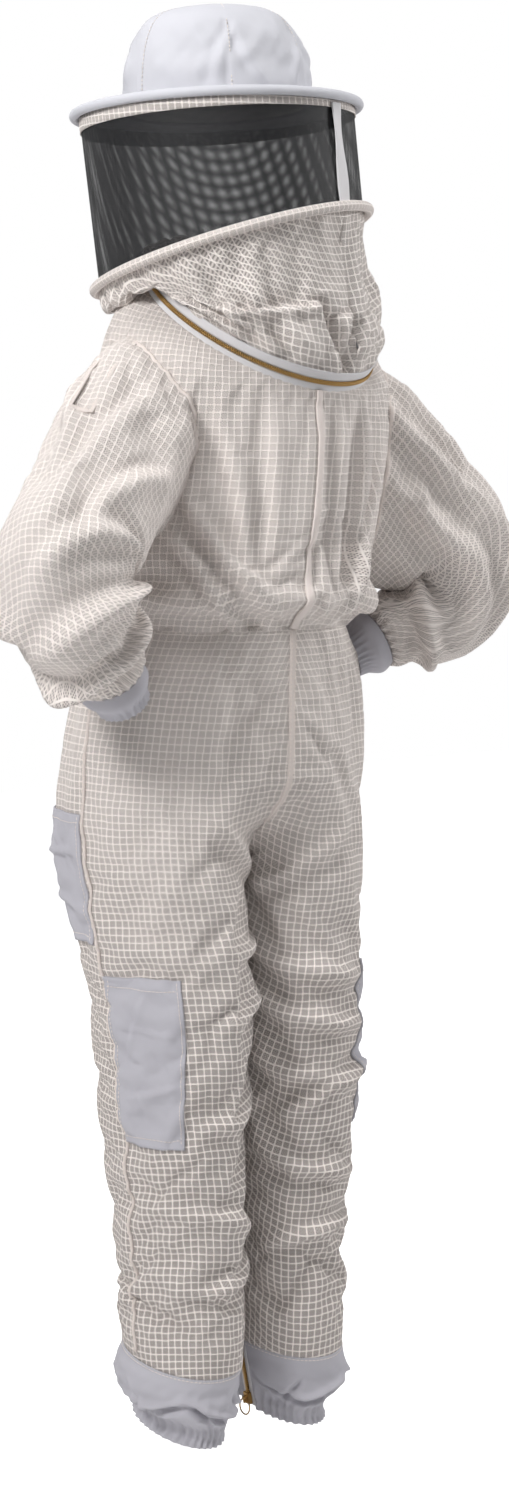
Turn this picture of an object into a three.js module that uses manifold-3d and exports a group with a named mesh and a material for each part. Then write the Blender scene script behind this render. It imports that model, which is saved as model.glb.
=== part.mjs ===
// A ventilated beekeeping suit with a round veil hat, standing in the shape it takes when it is worn
// with the hands on the hips. Millimetres, +Z up, the wearer faces -Y and the wearer's left is +X.
// Heights are measured from the wearer's floor. The exported group is lowered by NECK_HEIGHT, so its
// origin lies on the body's upright axis at the height of the neck opening.
import * as THREE from "three";
import { mergeVertices } from "three/addons/utils/BufferGeometryUtils.js";
import Module from "manifold-3d";

const wasm = await Module();
wasm.setup();

// ---- Driving dimensions ----

const GAP = 0.3; // between pieces that are sewn or pressed together
const FABRIC = 4; // three-layer ventilated mesh
const COTTON = 1.6; // plain cotton of the hat, cuffs, gaiters and pockets
const ELASTIC = 1.5; // thickness of an elastic band
const TAPE = 1.6; // thickness of a sewn tape

const NECK_HEIGHT = 1358; // height of the centre of the hood zip
const SHOULDER_HEIGHT = NECK_HEIGHT - 96;
const WAIST_HEIGHT = 1000;
const HIP_HEIGHT = 800;
const SEAT_HEIGHT = 830; // below this the seat starts to part into two legs
const CROTCH_HEIGHT = 670;
const LEG_HEM = { height: 140, tilt: 12 }; // where the mesh leg ends, lower at the back
const GAITER_HEIGHT = 90;

// Both hoops of the hat have the same wire and the same cloth tunnel round it.
const HOOP = { radius: 167, tunnel: 5.5, cloth: 1.3, wire: 1.6 };

// The hood zip runs round the neck on a circle that is low over the right shoulder blade.
const NECK = { x: -36, y: 44, radius: HOOP.radius - 24, tilt: 33, turn: 12 };
// The front zip is a straight line from the throat to the hips.
const FRONT_HIP = { x: 0, y: -165 };

const TOOTH = { depth: 4.6, half: 2.6 }; // a zip's row of teeth: outwards, and half across the pair
const ZIP_TAPE = 9; // width of one half of a zip, teeth included
const SLIDER = { length: 15, plate: 2.2, side: 1.4, clearance: 0.4 };
const PULL_RING = { radius: 9.6, wire: 1 };

// Hat and veil.
const CROWN = { gores: 6, base: 110, height: 116 };
const SWEATBAND = { height: 30, radius: 101 };
const VEIL = { radius: HOOP.radius - 6.4, height: 163, mesh: 1, bandHeight: 11 };
const VEIL_TAPE = { width: 18, turn: 19 };
// The lower hoop hangs lowest over the wearer's left breast, because the head is turned that way.
const LOWER_HOOP = { x: -15, y: 17, height: NECK_HEIGHT + 76, tilt: 17.2, turn: 35 };
const BRIM = {
  x: -15,
  y: -12,
  height: LOWER_HOOP.height + VEIL.height,
  tilt: 4,
  inner: 107,
  thickness: 2.6,
};

const WAIST_ELASTIC = { height: 26, reach: 68 };
const SEAM_TAPE = 9; // width of the binding over the centre-back seam

const WRIST = { cuff: 42, elastic: 12 };
const ANKLE_ELASTIC = 13;

// ---- Small helpers ----

const rad = THREE.MathUtils.degToRad;
const { lerp, smoothstep } = THREE.MathUtils;
const vec = (x, y, z) => new THREE.Vector3(x, y, z);

// The value of a table [[key, ...values], ...] at a key, by straight lines between its rows.
function interpolate(table, key) {
  const rising = table[table.length - 1][0] > table[0][0];
  const after = table.findIndex((row) => (rising ? row[0] >= key : row[0] <= key));
  if (after <= 0) return after === 0 ? table[0].slice(1) : table[table.length - 1].slice(1);
  const [a, b] = [table[after - 1], table[after]];
  const share = (key - a[0]) / (b[0] - a[0]);
  return a.slice(1).map((value, i) => lerp(value, b[i + 1], share));
}

// The whole numbers 0 to count, as shares of count.
const steps = (count) => Array.from({ length: count + 1 }, (_, i) => i / count);

// A solid between an outer and an inner grid of points, both as rows of points. Closed rows are tubes.
function shellGeometry(outer, inner, closed = false) {
  const rows = outer.length;
  const columns = outer[0].length;
  const points = [...outer.flat(), ...inner.flat()];
  const at = (layer, i, j) => layer * rows * columns + i * columns + (j % columns);
  const index = [];
  const quad = (a, b, c, d) => index.push(a, b, c, a, c, d);
  const last = closed ? columns : columns - 1;
  for (let j = 0; j < last; j++) {
    for (let i = 0; i < rows - 1; i++) {
      quad(at(0, i, j), at(0, i, j + 1), at(0, i + 1, j + 1), at(0, i + 1, j));
      quad(at(1, i, j), at(1, i + 1, j), at(1, i + 1, j + 1), at(1, i, j + 1));
    }
    quad(at(0, 0, j + 1), at(0, 0, j), at(1, 0, j), at(1, 0, j + 1));
    quad(at(0, rows - 1, j), at(0, rows - 1, j + 1), at(1, rows - 1, j + 1), at(1, rows - 1, j));
  }
  for (let i = 0; i < rows - 1 && !closed; i++) {
    quad(at(0, i, 0), at(0, i + 1, 0), at(1, i + 1, 0), at(1, i, 0));
    quad(at(0, i + 1, columns - 1), at(0, i, columns - 1), at(1, i, columns - 1), at(1, i + 1, columns - 1));
  }
  return facingOut(geometryOf(points, index));
}

// A solid filled from the middle of each closed row of points.
function loftGeometry(rowsOfPoints) {
  const columns = rowsOfPoints[0].length;
  const points = rowsOfPoints.flat();
  const index = [];
  for (let i = 0; i < rowsOfPoints.length - 1; i++) {
    for (let j = 0; j < columns; j++) {
      const [a, b] = [i * columns + j, i * columns + ((j + 1) % columns)];
      index.push(a, b, b + columns, a, b + columns, a + columns);
    }
  }
  [0, rowsOfPoints.length - 1].forEach((i) => {
    const middle = rowsOfPoints[i].reduce((sum, p) => sum.add(p), vec(0, 0, 0)).divideScalar(columns);
    points.push(middle);
    for (let j = 0; j < columns; j++) {
      const rim = [i * columns + j, i * columns + ((j + 1) % columns)];
      index.push(points.length - 1, ...(i ? rim : rim.reverse()));
    }
  });
  return facingOut(geometryOf(points, index));
}

function geometryOf(points, index) {
  const geometry = new THREE.BufferGeometry().setFromPoints(points);
  return geometry.setIndex(index);
}

function signedVolume(geometry) {
  const position = geometry.getAttribute("position");
  const corner = (i) => new THREE.Vector3().fromBufferAttribute(position, geometry.index.array[i]);
  let volume = 0;
  for (let i = 0; i < geometry.index.count; i += 3) {
    volume += corner(i).dot(corner(i + 1).cross(corner(i + 2))) / 6;
  }
  return volume;
}

function facingOut(geometry) {
  if (signedVolume(geometry) < 0) geometry.index.array.reverse();
  return geometry;
}

function solidOf(geometry) {
  const bare = geometry.clone();
  ["normal", "uv"].forEach((name) => bare.deleteAttribute(name));
  const merged = mergeVertices(bare, 1e-4);
  return new wasm.Manifold(
    new wasm.Mesh({
      numProp: 3,
      vertProperties: merged.getAttribute("position").array,
      triVerts: new Uint32Array(merged.index.array),
    }),
  );
}

function geometryOfSolid(solid) {
  const mesh = solid.getMesh();
  return new THREE.BufferGeometry()
    .setAttribute("position", new THREE.BufferAttribute(mesh.vertProperties, 3))
    .setIndex(new THREE.BufferAttribute(mesh.triVerts, 1));
}

const cut = (geometry, ...tools) =>
  geometryOfSolid(tools.reduce((solid, tool) => solid.subtract(solidOf(tool)), solidOf(geometry)));

const join = (...geometries) =>
  geometryOfSolid(geometries.map(solidOf).reduce((whole, piece) => whole.add(piece)));

const boxGeometry = (width, depth, height, x = 0, y = 0, z = 0) =>
  new THREE.BoxGeometry(width, depth, height).translate(x, y, z);

// A turned ring about +Z from a closed outline of [radius, height] points.
function ringGeometry(outline, segments = 36) {
  const points = [...outline, outline[0]].map(([radius, height]) => new THREE.Vector2(radius, height));
  const geometry = new THREE.LatheGeometry(points, segments).rotateX(Math.PI / 2);
  ["normal", "uv"].forEach((name) => geometry.deleteAttribute(name));
  return facingOut(mergeVertices(geometry, 1e-3));
}

const bandOutline = (inner, thickness, low, high) => [
  [inner, low],
  [inner + thickness, low],
  [inner + thickness, high],
  [inner, high],
];

// ---- Materials ----

const material = (color, roughness, metalness = 0) =>
  new THREE.MeshStandardMaterial({ color, roughness, metalness });
const MATERIALS = {
  mesh: material(0xded6cd, 0.95),
  cotton: material(0xe3e3e8, 0.9),
  veil: material(0x1b1b1d, 0.6),
  tape: material(0xe9e7e4, 0.9),
  elastic: material(0xf0eeea, 0.85),
  brass: material(0xa98a4a, 0.35, 1),
  steel: material(0xb8babd, 0.35, 1),
};

const suit = new THREE.Group();
const worn = new THREE.Group();
worn.position.z = -NECK_HEIGHT;
suit.add(worn);

function piece(name, geometry, finish, parent = worn) {
  const mesh = new THREE.Mesh(geometry, MATERIALS[finish]);
  mesh.name = name;
  parent.add(mesh);
  return mesh;
}

// A group whose +Z is tipped by an angle towards +Y or away from it, after a turn about the upright.
function tippedGroup(x, y, height, tilt, turn = 0) {
  const group = new THREE.Group();
  group.position.set(x, y, height);
  group.rotation.set(-rad(tilt), 0, rad(turn), "ZXY");
  worn.add(group);
  group.updateMatrix();
  return group;
}

// ---- The body of the suit: bodice above the waist, trousers below it ----

const neckGroup = tippedGroup(NECK.x, NECK.y, NECK_HEIGHT, NECK.tilt, NECK.turn);

// A point on a circle of a tipped group, at a bearing counted in the frame of the suit.
function onCircle(group, radius, bearing, lift) {
  const turn = bearing - group.rotation.z;
  return vec(radius * Math.cos(turn), radius * Math.sin(turn), lift).applyMatrix4(group.matrix);
}

const FRONT_NECK = onCircle(neckGroup, NECK.radius, -Math.PI / 2, 0);
const frontSlope = (FRONT_NECK.y - FRONT_HIP.y) / (FRONT_NECK.z - HIP_HEIGHT);
const frontDrift = (FRONT_NECK.x - FRONT_HIP.x) / (FRONT_NECK.z - HIP_HEIGHT);

// Sections of the body: height, half width, half depth at the back, centre's y, tilt.
const inBodice = (share) => lerp(WAIST_HEIGHT, SHOULDER_HEIGHT, share);
const BODICE = [
  [WAIST_HEIGHT, 148, 130, 0, 0],
  [inBodice(0.14), 160, 148, 0, 0],
  [inBodice(0.45), 174, 156, 2, 3],
  [inBodice(0.75), 186, 156, 5, 9],
  [SHOULDER_HEIGHT, 190, 154, 10, 15],
];
const TROUSERS = [
  [WAIST_HEIGHT, 148, 130],
  [960, 165, 134],
  [900, 184, 140],
  [HIP_HEIGHT, 190, 144],
  [730, 189, 144],
  [CROTCH_HEIGHT, 186, 138],
];
// Sections of a leg: height, centre's x and y, half width, half depth.
const LEFT_LEG = [
  [SEAT_HEIGHT, 94, -8, 94, 150],
  [CROTCH_HEIGHT, 88, 6, 87, 121],
  [560, 81, 19, 80, 115],
  [440, 80, 26, 76, 101],
  [320, 78, 32, 71, 88],
  [200, 77, 36, 68, 82],
  [LEG_HEM.height, 76, 38, 66, 80],
];
const RIGHT_LEG = LEFT_LEG.map(([z, x, y, rx, ry]) => {
  const fullness = Math.exp(-(((z - 600) / 70) ** 2)); // the cloth stands out over the right thigh
  return [z, x + 5 * fullness, y + 8 * fullness, rx + 5 * fullness, ry + 14 * fullness];
});

// The half depth at the front that puts a section's front on the zip's line.
function frontDepth(height, centreY, tilt) {
  const away = centreY - FRONT_NECK.y + frontSlope * (FRONT_NECK.z - height);
  return away / (Math.cos(rad(tilt)) + frontSlope * Math.sin(rad(tilt)));
}

const NECK_EDGE = ZIP_TAPE + GAP;
const SHOULDER_SLOPE = NECK_HEIGHT - NECK_EDGE - SHOULDER_HEIGHT;

// A point of the bodice: angle 0 at the wearer's left, 90 at the back and -90 at the front. Above the
// shoulders the sections turn into the circle of the hood zip.
function bodicePoint(height, angle, inset = 0) {
  if (height <= SHOULDER_HEIGHT) return bodiceSection(height, angle, inset);
  const up = (height - SHOULDER_HEIGHT) / SHOULDER_SLOPE;
  const shoulder = bodiceSection(SHOULDER_HEIGHT, angle, inset);
  const neck = onCircle(neckGroup, NECK.radius - inset, angle, -NECK_EDGE);
  const point = shoulder.lerp(neck, up);
  const rounding = 16 * Math.sin(up * Math.PI) * Math.cos(angle) ** 2;
  return point.add(vec(rounding * Math.sign(Math.cos(angle)), 0, rounding));
}

function bodiceSection(height, angle, inset) {
  const [halfWidth, backDepth, centreY, tilt] = interpolate(BODICE, height);
  const front = frontDepth(height, centreY, tilt);
  const frontHeight = height + front * Math.sin(rad(tilt));
  const centreX = FRONT_HIP.x + frontDrift * (frontHeight - HIP_HEIGHT);
  const depth = Math.sin(angle) < 0 ? front : backDepth;
  const along = (depth - inset) * Math.sin(angle);
  return vec(
    centreX + (halfWidth - inset) * Math.cos(angle),
    centreY + along * Math.cos(rad(tilt)),
    height - along * Math.sin(rad(tilt)),
  );
}

// A point of one half of the trousers: angle 0 at the outseam, 180 at the centre or inseam.
function trouserPoint(side, height, angle, inset = 0) {
  const leg = interpolate(side > 0 ? LEFT_LEG : RIGHT_LEG, Math.min(height, SEAT_HEIGHT));
  const [legX, legY, halfX, halfY] = leg;
  const legPoint = vec(
    legX + (halfX - inset) * Math.cos(angle),
    legY + (halfY - inset) * Math.sin(angle),
    height,
  );
  const [halfWidth, backDepth] = interpolate(TROUSERS, Math.max(height, CROTCH_HEIGHT));
  const hipFront = Math.min(frontDepth(Math.max(height, HIP_HEIGHT), 0, 0), -FRONT_HIP.y);
  const depth = angle < 0 ? hipFront : backDepth;
  const centreX = side * seatCentre(height);
  const seatPoint = vec(
    centreX + (halfWidth - inset) * Math.cos(angle / 2),
    (depth - inset) * Math.sin(angle / 2),
    height,
  );
  const parting = 1 - smoothstep(height, CROTCH_HEIGHT, SEAT_HEIGHT);
  const point = seatPoint.lerp(legPoint, parting);
  const hem = smoothstep(LEG_HEM.height + 120 - height, 0, 120) * Math.tan(rad(LEG_HEM.tilt));
  return vec(side * point.x, point.y, point.z - hem * (point.y - legY));
}

const seatCentre = (height) => frontDrift * Math.max(height - HIP_HEIGHT, 0);

const BODICE_HEIGHTS = [
  ...[0, 0.07, 0.14, 0.36, 0.57, 0.78].map(inBodice),
  ...[0, 0.35, 0.7, 1].map((share) => SHOULDER_HEIGHT + share * SHOULDER_SLOPE),
];

// One quarter of the bodice, from the side seam to the middle of the back or front.
function bodicePanel(side, toBack) {
  const columns = 8;
  const grid = (inset) =>
    BODICE_HEIGHTS.map((height, i) =>
      steps(columns).map((share) => {
        const halfWidth = Math.min(NECK.radius, BODICE[0][1]);
        const edge = toBack ? GAP / 2 : ZIP_TAPE + 3 * GAP;
        const end = Math.PI / 2 - Math.asin(edge / halfWidth);
        const start = GAP / 2 / halfWidth;
        const turn = lerp(start, end, share) * (toBack ? 1 : -1);
        const angle = side > 0 ? turn : Math.PI - turn;
        const z = height + (i === 0 ? GAP / 2 : 0);
        return bodicePoint(z, angle, inset);
      }),
    );
  return shellGeometry(grid(0), grid(FABRIC));
}

// The whole bodice as one filled solid, grown outwards, for fitting the sleeves to it.
function bodiceSolid(grow) {
  return loftGeometry(
    BODICE_HEIGHTS.map((height) =>
      steps(32)
        .slice(1)
        .map((share) => bodicePoint(height, share * 2 * Math.PI, -grow)),
    ),
  );
}

const SEAT_HEIGHTS = [WAIST_HEIGHT, 955, 900, 850, HIP_HEIGHT, 765, 735, 705, 685, CROTCH_HEIGHT];
const LEG_HEIGHTS = [610, 530, 430, 330, 250, 190, LEG_HEM.height];

// Half a trouser leg and its quarter of the seat, from the outseam to the middle.
function trouserPanel(side, toBack) {
  const columns = 9;
  const sign = toBack ? 1 : -1;
  const grid = (inset) =>
    [...SEAT_HEIGHTS, ...LEG_HEIGHTS].map((height, i) =>
      steps(columns).map((share) => {
        const start = GAP / 2 / 90;
        const inSeat = height > CROTCH_HEIGHT;
        const middle = toBack || height < HIP_HEIGHT ? GAP : ZIP_TAPE + GAP + 1;
        const end = Math.PI - (inSeat ? (2 * middle) / TROUSERS[0][1] : start);
        const z = height - (i === 0 ? GAP / 2 : 0);
        return trouserPoint(side, z, sign * lerp(start, end, share), inset);
      }),
    );
  return shellGeometry(grid(0), grid(FABRIC));
}

// A strip of tape that lies on the suit along a line of points, given with their outward offsets.
function stripGeometry(rows, halfWidth, lift, thickness) {
  const line = (level) =>
    rows.map(({ point, out, across }) =>
      [-1, 0, 1].map((s) =>
        point.clone().addScaledVector(out, lift + level).addScaledVector(across, s * halfWidth),
      ),
    );
  return shellGeometry(line(thickness), line(0));
}

function backSeam() {
  const across = vec(1, 0, 0);
  const heights = [WAIST_HEIGHT + 2, ...BODICE_HEIGHTS.slice(1, -1), BODICE_HEIGHTS.at(-1) - 1];
  const rows = heights.map((height) => {
    const point = bodicePoint(height, Math.PI / 2);
    const along = bodicePoint(height + 1, Math.PI / 2).sub(bodicePoint(height - 1, Math.PI / 2));
    return { point, out: across.clone().cross(along).normalize().negate(), across };
  });
  return stripGeometry(rows, SEAM_TAPE / 2, 2 * GAP, TAPE);
}

function seatSeam() {
  const across = vec(1, 0, 0);
  const rows = SEAT_HEIGHTS.slice(0, -5).map((height, i) => {
    const edge = (z) => trouserPoint(1, z, Math.PI).setX(seatCentre(z));
    const z = height - (i === 0 ? 2 : 0);
    const along = edge(z + 1).sub(edge(z - 1));
    return { point: edge(z), out: across.clone().cross(along).normalize().negate(), across };
  });
  return stripGeometry(rows, SEAM_TAPE / 2, 2 * GAP, TAPE);
}

function waistElastic() {
  const columns = 16;
  const band = (inset) =>
    [-1, 0, 1].map((row) =>
      steps(columns).map((share) => {
        const turn = rad(lerp(90 - WAIST_ELASTIC.reach, 90 + WAIST_ELASTIC.reach, share));
        const height = WAIST_HEIGHT + 14 + (row * WAIST_ELASTIC.height) / 2;
        return bodicePoint(Math.max(height, WAIST_HEIGHT + 1), turn, FABRIC + 4 * GAP + inset);
      }),
    );
  return shellGeometry(band(0), band(ELASTIC));
}

// Patch pockets: lower and upper edge, and where they start and end in degrees from the outseam.
const HIP_POCKET = { low: 640, high: 790, from: -3, to: -62 };
const THIGH_POCKET = { low: 408, high: 606, from: 0, to: 54 };

// A patch pocket lying on the trousers between two heights and two angles from the outseam.
function pocketGeometry(side, { low, high, from, to }) {
  const columns = 4;
  const lift = 4 * GAP;
  const between = [...SEAT_HEIGHTS, ...LEG_HEIGHTS].filter((height) => height > low && height < high);
  const grid = (grow) =>
    [high, ...between, low].map((height) =>
      steps(columns).map((share) =>
        trouserPoint(side, height, rad(lerp(from, to, share)), -lift - grow),
      ),
    );
  return shellGeometry(grid(COTTON), grid(0));
}

// ---- Sleeves: a straight upper part, a round bend at the elbow and a straight forearm ----

// Shoulder, elbow corner and wrist of each centre line, the bend's radius, and the half sizes along
// it: share of the length, half size in the plane of the bend, half size across it.
const LEFT_SLEEVE = {
  shoulder: vec(96, 14, SHOULDER_HEIGHT + 2),
  elbow: vec(322, 130, WAIST_HEIGHT + 78),
  wrist: vec(216, 92, WAIST_HEIGHT - 50),
  bend: 70,
  sizes: [
    [0, 96, 74],
    [0.22, 88, 80],
    [0.45, 76, 76],
    [0.62, 72, 76],
    [0.8, 66, 70],
    [0.92, 54, 56],
    [1, 36, 38],
  ],
};
const RIGHT_SLEEVE = {
  shoulder: vec(-124, 0, SHOULDER_HEIGHT - 48),
  elbow: vec(-384, 84, WAIST_HEIGHT + 54),
  wrist: vec(-228, 29, WAIST_HEIGHT - 28),
  bend: 62,
  sizes: [
    [0, 128, 84],
    [0.2, 120, 80],
    [0.4, 98, 74],
    [0.58, 72, 68],
    [0.8, 62, 62],
    [0.92, 50, 50],
    [1, 36, 38],
  ],
};

// The sleeve's centre line as a function of the share of its length: point, and the plane's axes.
function sleeveFrames({ shoulder, elbow, wrist, bend }, count) {
  const down = elbow.clone().sub(shoulder).normalize();
  const back = wrist.clone().sub(elbow).normalize();
  const across = down.clone().cross(back).normalize();
  const turn = down.angleTo(back);
  const reach = bend * Math.tan(turn / 2);
  const arcStart = elbow.clone().addScaledVector(down, -reach);
  const arcEnd = elbow.clone().addScaledVector(back, reach);
  const inward = across.clone().cross(down);
  const centre = arcStart.clone().addScaledVector(inward, bend);
  const [upper, arc, lower] = [shoulder.distanceTo(arcStart), bend * turn, arcEnd.distanceTo(wrist)];
  const frame = (distance) => {
    if (distance <= upper) {
      return { point: shoulder.clone().addScaledVector(down, distance), along: down.clone() };
    }
    if (distance >= upper + arc) {
      const past = distance - upper - arc;
      return { point: arcEnd.clone().addScaledVector(back, past), along: back.clone() };
    }
    const angle = (distance - upper) / bend;
    const spoke = inward.clone().negate().applyAxisAngle(across, angle).multiplyScalar(bend);
    return { point: centre.clone().add(spoke), along: down.clone().applyAxisAngle(across, angle) };
  };
  return steps(count).map((share) => {
    const made = frame(share * (upper + arc + lower));
    return { ...made, share, across, outward: made.along.clone().cross(across) };
  });
}

const SLEEVE_STATIONS = 12;
const SLEEVE_SIDES = 18;

function sectionRow({ point, outward, across }, halfIn, halfAcross, sides) {
  return steps(sides)
    .slice(1)
    .map((share) => {
      const angle = share * 2 * Math.PI;
      return point
        .clone()
        .addScaledVector(outward, halfIn * Math.cos(angle))
        .addScaledVector(across, halfAcross * Math.sin(angle));
    });
}

function sleeveRows(sleeve, inset) {
  return sleeveFrames(sleeve, SLEEVE_STATIONS).map((frame) => {
    const [halfIn, halfAcross] = interpolate(sleeve.sizes, frame.share);
    return sectionRow(frame, halfIn - inset, halfAcross - inset, SLEEVE_SIDES);
  });
}

const sleeveGeometry = (sleeve) =>
  cut(shellGeometry(sleeveRows(sleeve, 0), sleeveRows(sleeve, FABRIC), true), bodiceSolid(3 * GAP));

const armholeTool = (sleeve) => loftGeometry(sleeveRows(sleeve, FABRIC));

// A cuff that carries on from the sleeve's end, drawn in by its elastic.
function cuffRows(sleeve, inset, from, to) {
  const end = sleeveFrames(sleeve, SLEEVE_STATIONS).at(-1);
  const profile = [[0, 36, 38], [14, 40, 42], [30, 31, 33], [WRIST.cuff, 29, 31]];
  const stations = [from, ...profile.map((row) => row[0]).filter((d) => d > from && d < to), to];
  return stations.map((distance) => {
    const [halfIn, halfAcross] = interpolate(profile, distance);
    const point = end.point.clone().addScaledVector(end.along, distance + GAP);
    return sectionRow({ ...end, point }, halfIn - inset, halfAcross - inset, SLEEVE_SIDES);
  });
}

function addSleeve(name, sleeve) {
  piece(`${name}_sleeve`, sleeveGeometry(sleeve), "mesh");
  const whole = [0, WRIST.cuff];
  const cuff = shellGeometry(cuffRows(sleeve, 0, ...whole), cuffRows(sleeve, COTTON, ...whole), true);
  piece(`${name}_cuff`, cuff, "cotton");
  const held = [WRIST.cuff - WRIST.elastic, WRIST.cuff - 1];
  const inside = COTTON + GAP;
  const elastic = [inside, inside + ELASTIC].map((inset) => cuffRows(sleeve, inset, ...held));
  piece(`${name}_wrist_elastic`, shellGeometry(...elastic, true), "elastic");
}

// ---- Gaiters: cotton ankle pieces with an elastic hem and a zip on the inner side ----

// Drop below the leg's hem, half width, half depth.
const [, HEM_X, HEM_Y, HEM_WIDE, HEM_DEEP] = LEFT_LEG.at(-1);
const GAITER = [
  [0, HEM_WIDE, HEM_DEEP],
  [24, 68, 83],
  [50, 60, 79],
  [GAITER_HEIGHT - ANKLE_ELASTIC, 44, 70],
  [GAITER_HEIGHT, 43, 69],
];
const GAITER_LEAN = 8; // how far the gaiter's foot stands forward of its top
const GAITER_DROPS = GAITER.map((row) => row[0]);
// How far the inner side stands from the middle, on a straight line for the zip.
const INSEAM = { top: HEM_X - HEM_WIDE, foot: 34 };

function gaiterPoint(side, drop, angle, inset = 0) {
  const [halfX, halfY] = interpolate(GAITER, drop);
  const inner = lerp(INSEAM.top, INSEAM.foot, drop / GAITER_HEIGHT);
  const y = (halfY - inset) * Math.sin(angle);
  return vec(
    side * (inner + halfX + (halfX - inset) * Math.cos(angle)),
    HEM_Y - (GAITER_LEAN * drop) / GAITER_HEIGHT + y,
    LEG_HEM.height - GAP - drop - y * Math.tan(rad(LEG_HEM.tilt)),
  );
}

function gaiterGrid(side, drops, inset, opening) {
  return drops.map((drop) => {
    const [, halfY] = interpolate(GAITER, drop);
    const slit = Math.asin(opening / (halfY - inset));
    return steps(20).map((share) => {
      const angle = lerp(Math.PI + slit, 3 * Math.PI - slit, share);
      return gaiterPoint(side, drop, angle, inset);
    });
  });
}

function zipOutline(halfTape) {
  return [
    [-halfTape, 0],
    [halfTape, 0],
    [halfTape, TAPE],
    [TOOTH.half, TAPE],
    [TOOTH.half, TOOTH.depth - 0.8],
    [TOOTH.half - 0.8, TOOTH.depth],
    [0.8 - TOOTH.half, TOOTH.depth],
    [-TOOTH.half, TOOTH.depth - 0.8],
    [-TOOTH.half, TAPE],
    [-halfTape, TAPE],
  ];
}

// A bar along +Y with an outline in X and Z.
function barGeometry(outline, length) {
  const shape = new THREE.Shape(outline.map(([x, z]) => new THREE.Vector2(x, z)));
  const bar = new THREE.ExtrudeGeometry(shape, { depth: length, bevelEnabled: false, curveSegments: 6 });
  return bar.rotateX(Math.PI / 2).translate(0, length, 0);
}

// A group at a point of a zip: its +Y runs along the zip and its +Z stands out of the cloth.
function zipGroup(from, to, outward) {
  const along = to.clone().sub(from).normalize();
  const across = along.clone().cross(outward).normalize();
  const out = across.clone().cross(along);
  const group = new THREE.Group();
  group.position.copy(from);
  group.quaternion.setFromRotationMatrix(new THREE.Matrix4().makeBasis(across, along, out));
  worn.add(group);
  return group;
}

// A slider that rides over a row of teeth, with a bail on top. The zip runs along Y. A slider of the
// hood zip has no flange on the hood's side (+X), so the open half can lift out of it.
function sliderGeometry(openSide = false) {
  const inside = TOOTH.half + SLIDER.clearance;
  const top = TOOTH.depth + SLIDER.clearance;
  const outer = inside + SLIDER.side;
  const flange = [
    [inside, TAPE + 0.4],
    [outer, TAPE + 0.4],
    [outer, top + SLIDER.plate],
  ];
  const body = barGeometry(
    [
      [-outer, TAPE + 0.4],
      [-inside, TAPE + 0.4],
      [-inside, top],
      [inside, top],
      ...(openSide ? [[inside, top + SLIDER.plate]] : flange),
      [-outer, top + SLIDER.plate],
    ],
    SLIDER.length,
  ).translate(0, -SLIDER.length / 2, 0);
  const arch = rectangle(-4.5, 4.5, -1, 4.6);
  arch.holes.push(rectangle(-3, 3, 0.2, 3.2));
  const bail = new THREE.ExtrudeGeometry(arch, { depth: 2.4, bevelEnabled: false });
  bail.translate(0, 0, -1.2).rotateX(Math.PI / 2).rotateZ(Math.PI / 2);
  return join(body, bail.translate(0, 0, top + SLIDER.plate));
}

function rectangle(left, right, low, high) {
  return new THREE.Shape([
    new THREE.Vector2(left, low),
    new THREE.Vector2(right, low),
    new THREE.Vector2(right, high),
    new THREE.Vector2(left, high),
  ]);
}

// The height over the cloth at which a pull ring hangs in its slider's bail.
const RING_SEAT = TOOTH.depth + SLIDER.clearance + SLIDER.plate + 1.7;

// A pull ring whose top passes through the origin. It lies along the zip, towards -Y, and is swung
// into the cloth by an angle, or out of it when the angle is negative.
function ringPull(swing) {
  const ring = ringGeometry(circleOutline(PULL_RING.radius, PULL_RING.wire, 5), 16);
  return ring.translate(0, -PULL_RING.radius, 0).rotateX(swing);
}

const circleOutline = (radius, wire, sides) =>
  steps(sides)
    .slice(1)
    .map((share) => [
      radius + wire * Math.cos(share * 2 * Math.PI),
      wire * Math.sin(share * 2 * Math.PI),
    ]);

const ankleZipLength = GAITER_HEIGHT - 6;
const gaiterInnerPoint = (side, drop) => gaiterPoint(side, drop, Math.PI);

function addGaiter(name, side) {
  const opening = ZIP_TAPE + GAP;
  const shell = [0, COTTON].map((inset) => gaiterGrid(side, GAITER_DROPS, inset, opening));
  piece(`${name}_gaiter`, shellGeometry(...shell), "cotton");
  const drops = [GAITER_HEIGHT - ANKLE_ELASTIC, GAITER_HEIGHT - 1];
  const inside = COTTON + GAP;
  const elastic = [inside, inside + ELASTIC].map((inset) => gaiterGrid(side, drops, inset, opening));
  piece(`${name}_ankle_elastic`, shellGeometry(...elastic), "elastic");
  const foot = gaiterInnerPoint(side, GAITER_HEIGHT - 2);
  const group = zipGroup(foot, gaiterInnerPoint(side, 2), vec(-side, 0, 0));
  const zip = barGeometry(zipOutline(ZIP_TAPE), ankleZipLength).translate(0, 0, -TAPE);
  piece(`${name}_ankle_zip`, zip, "brass", group);
  const slider = sliderGeometry().translate(0, SLIDER.length / 2 + 3, -TAPE);
  piece(`${name}_ankle_slider`, slider, "brass", group);
  const seat = vec(0, SLIDER.length / 2 + 3, RING_SEAT - TAPE);
  const lean = Math.atan((INSEAM.foot - INSEAM.top) / GAITER_HEIGHT);
  const ring = ringPull(-lean).translate(seat.x, seat.y, seat.z);
  piece(`${name}_ankle_ring`, ring, "brass", group);
}

// ---- Zips of the front and the hood ----

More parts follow.
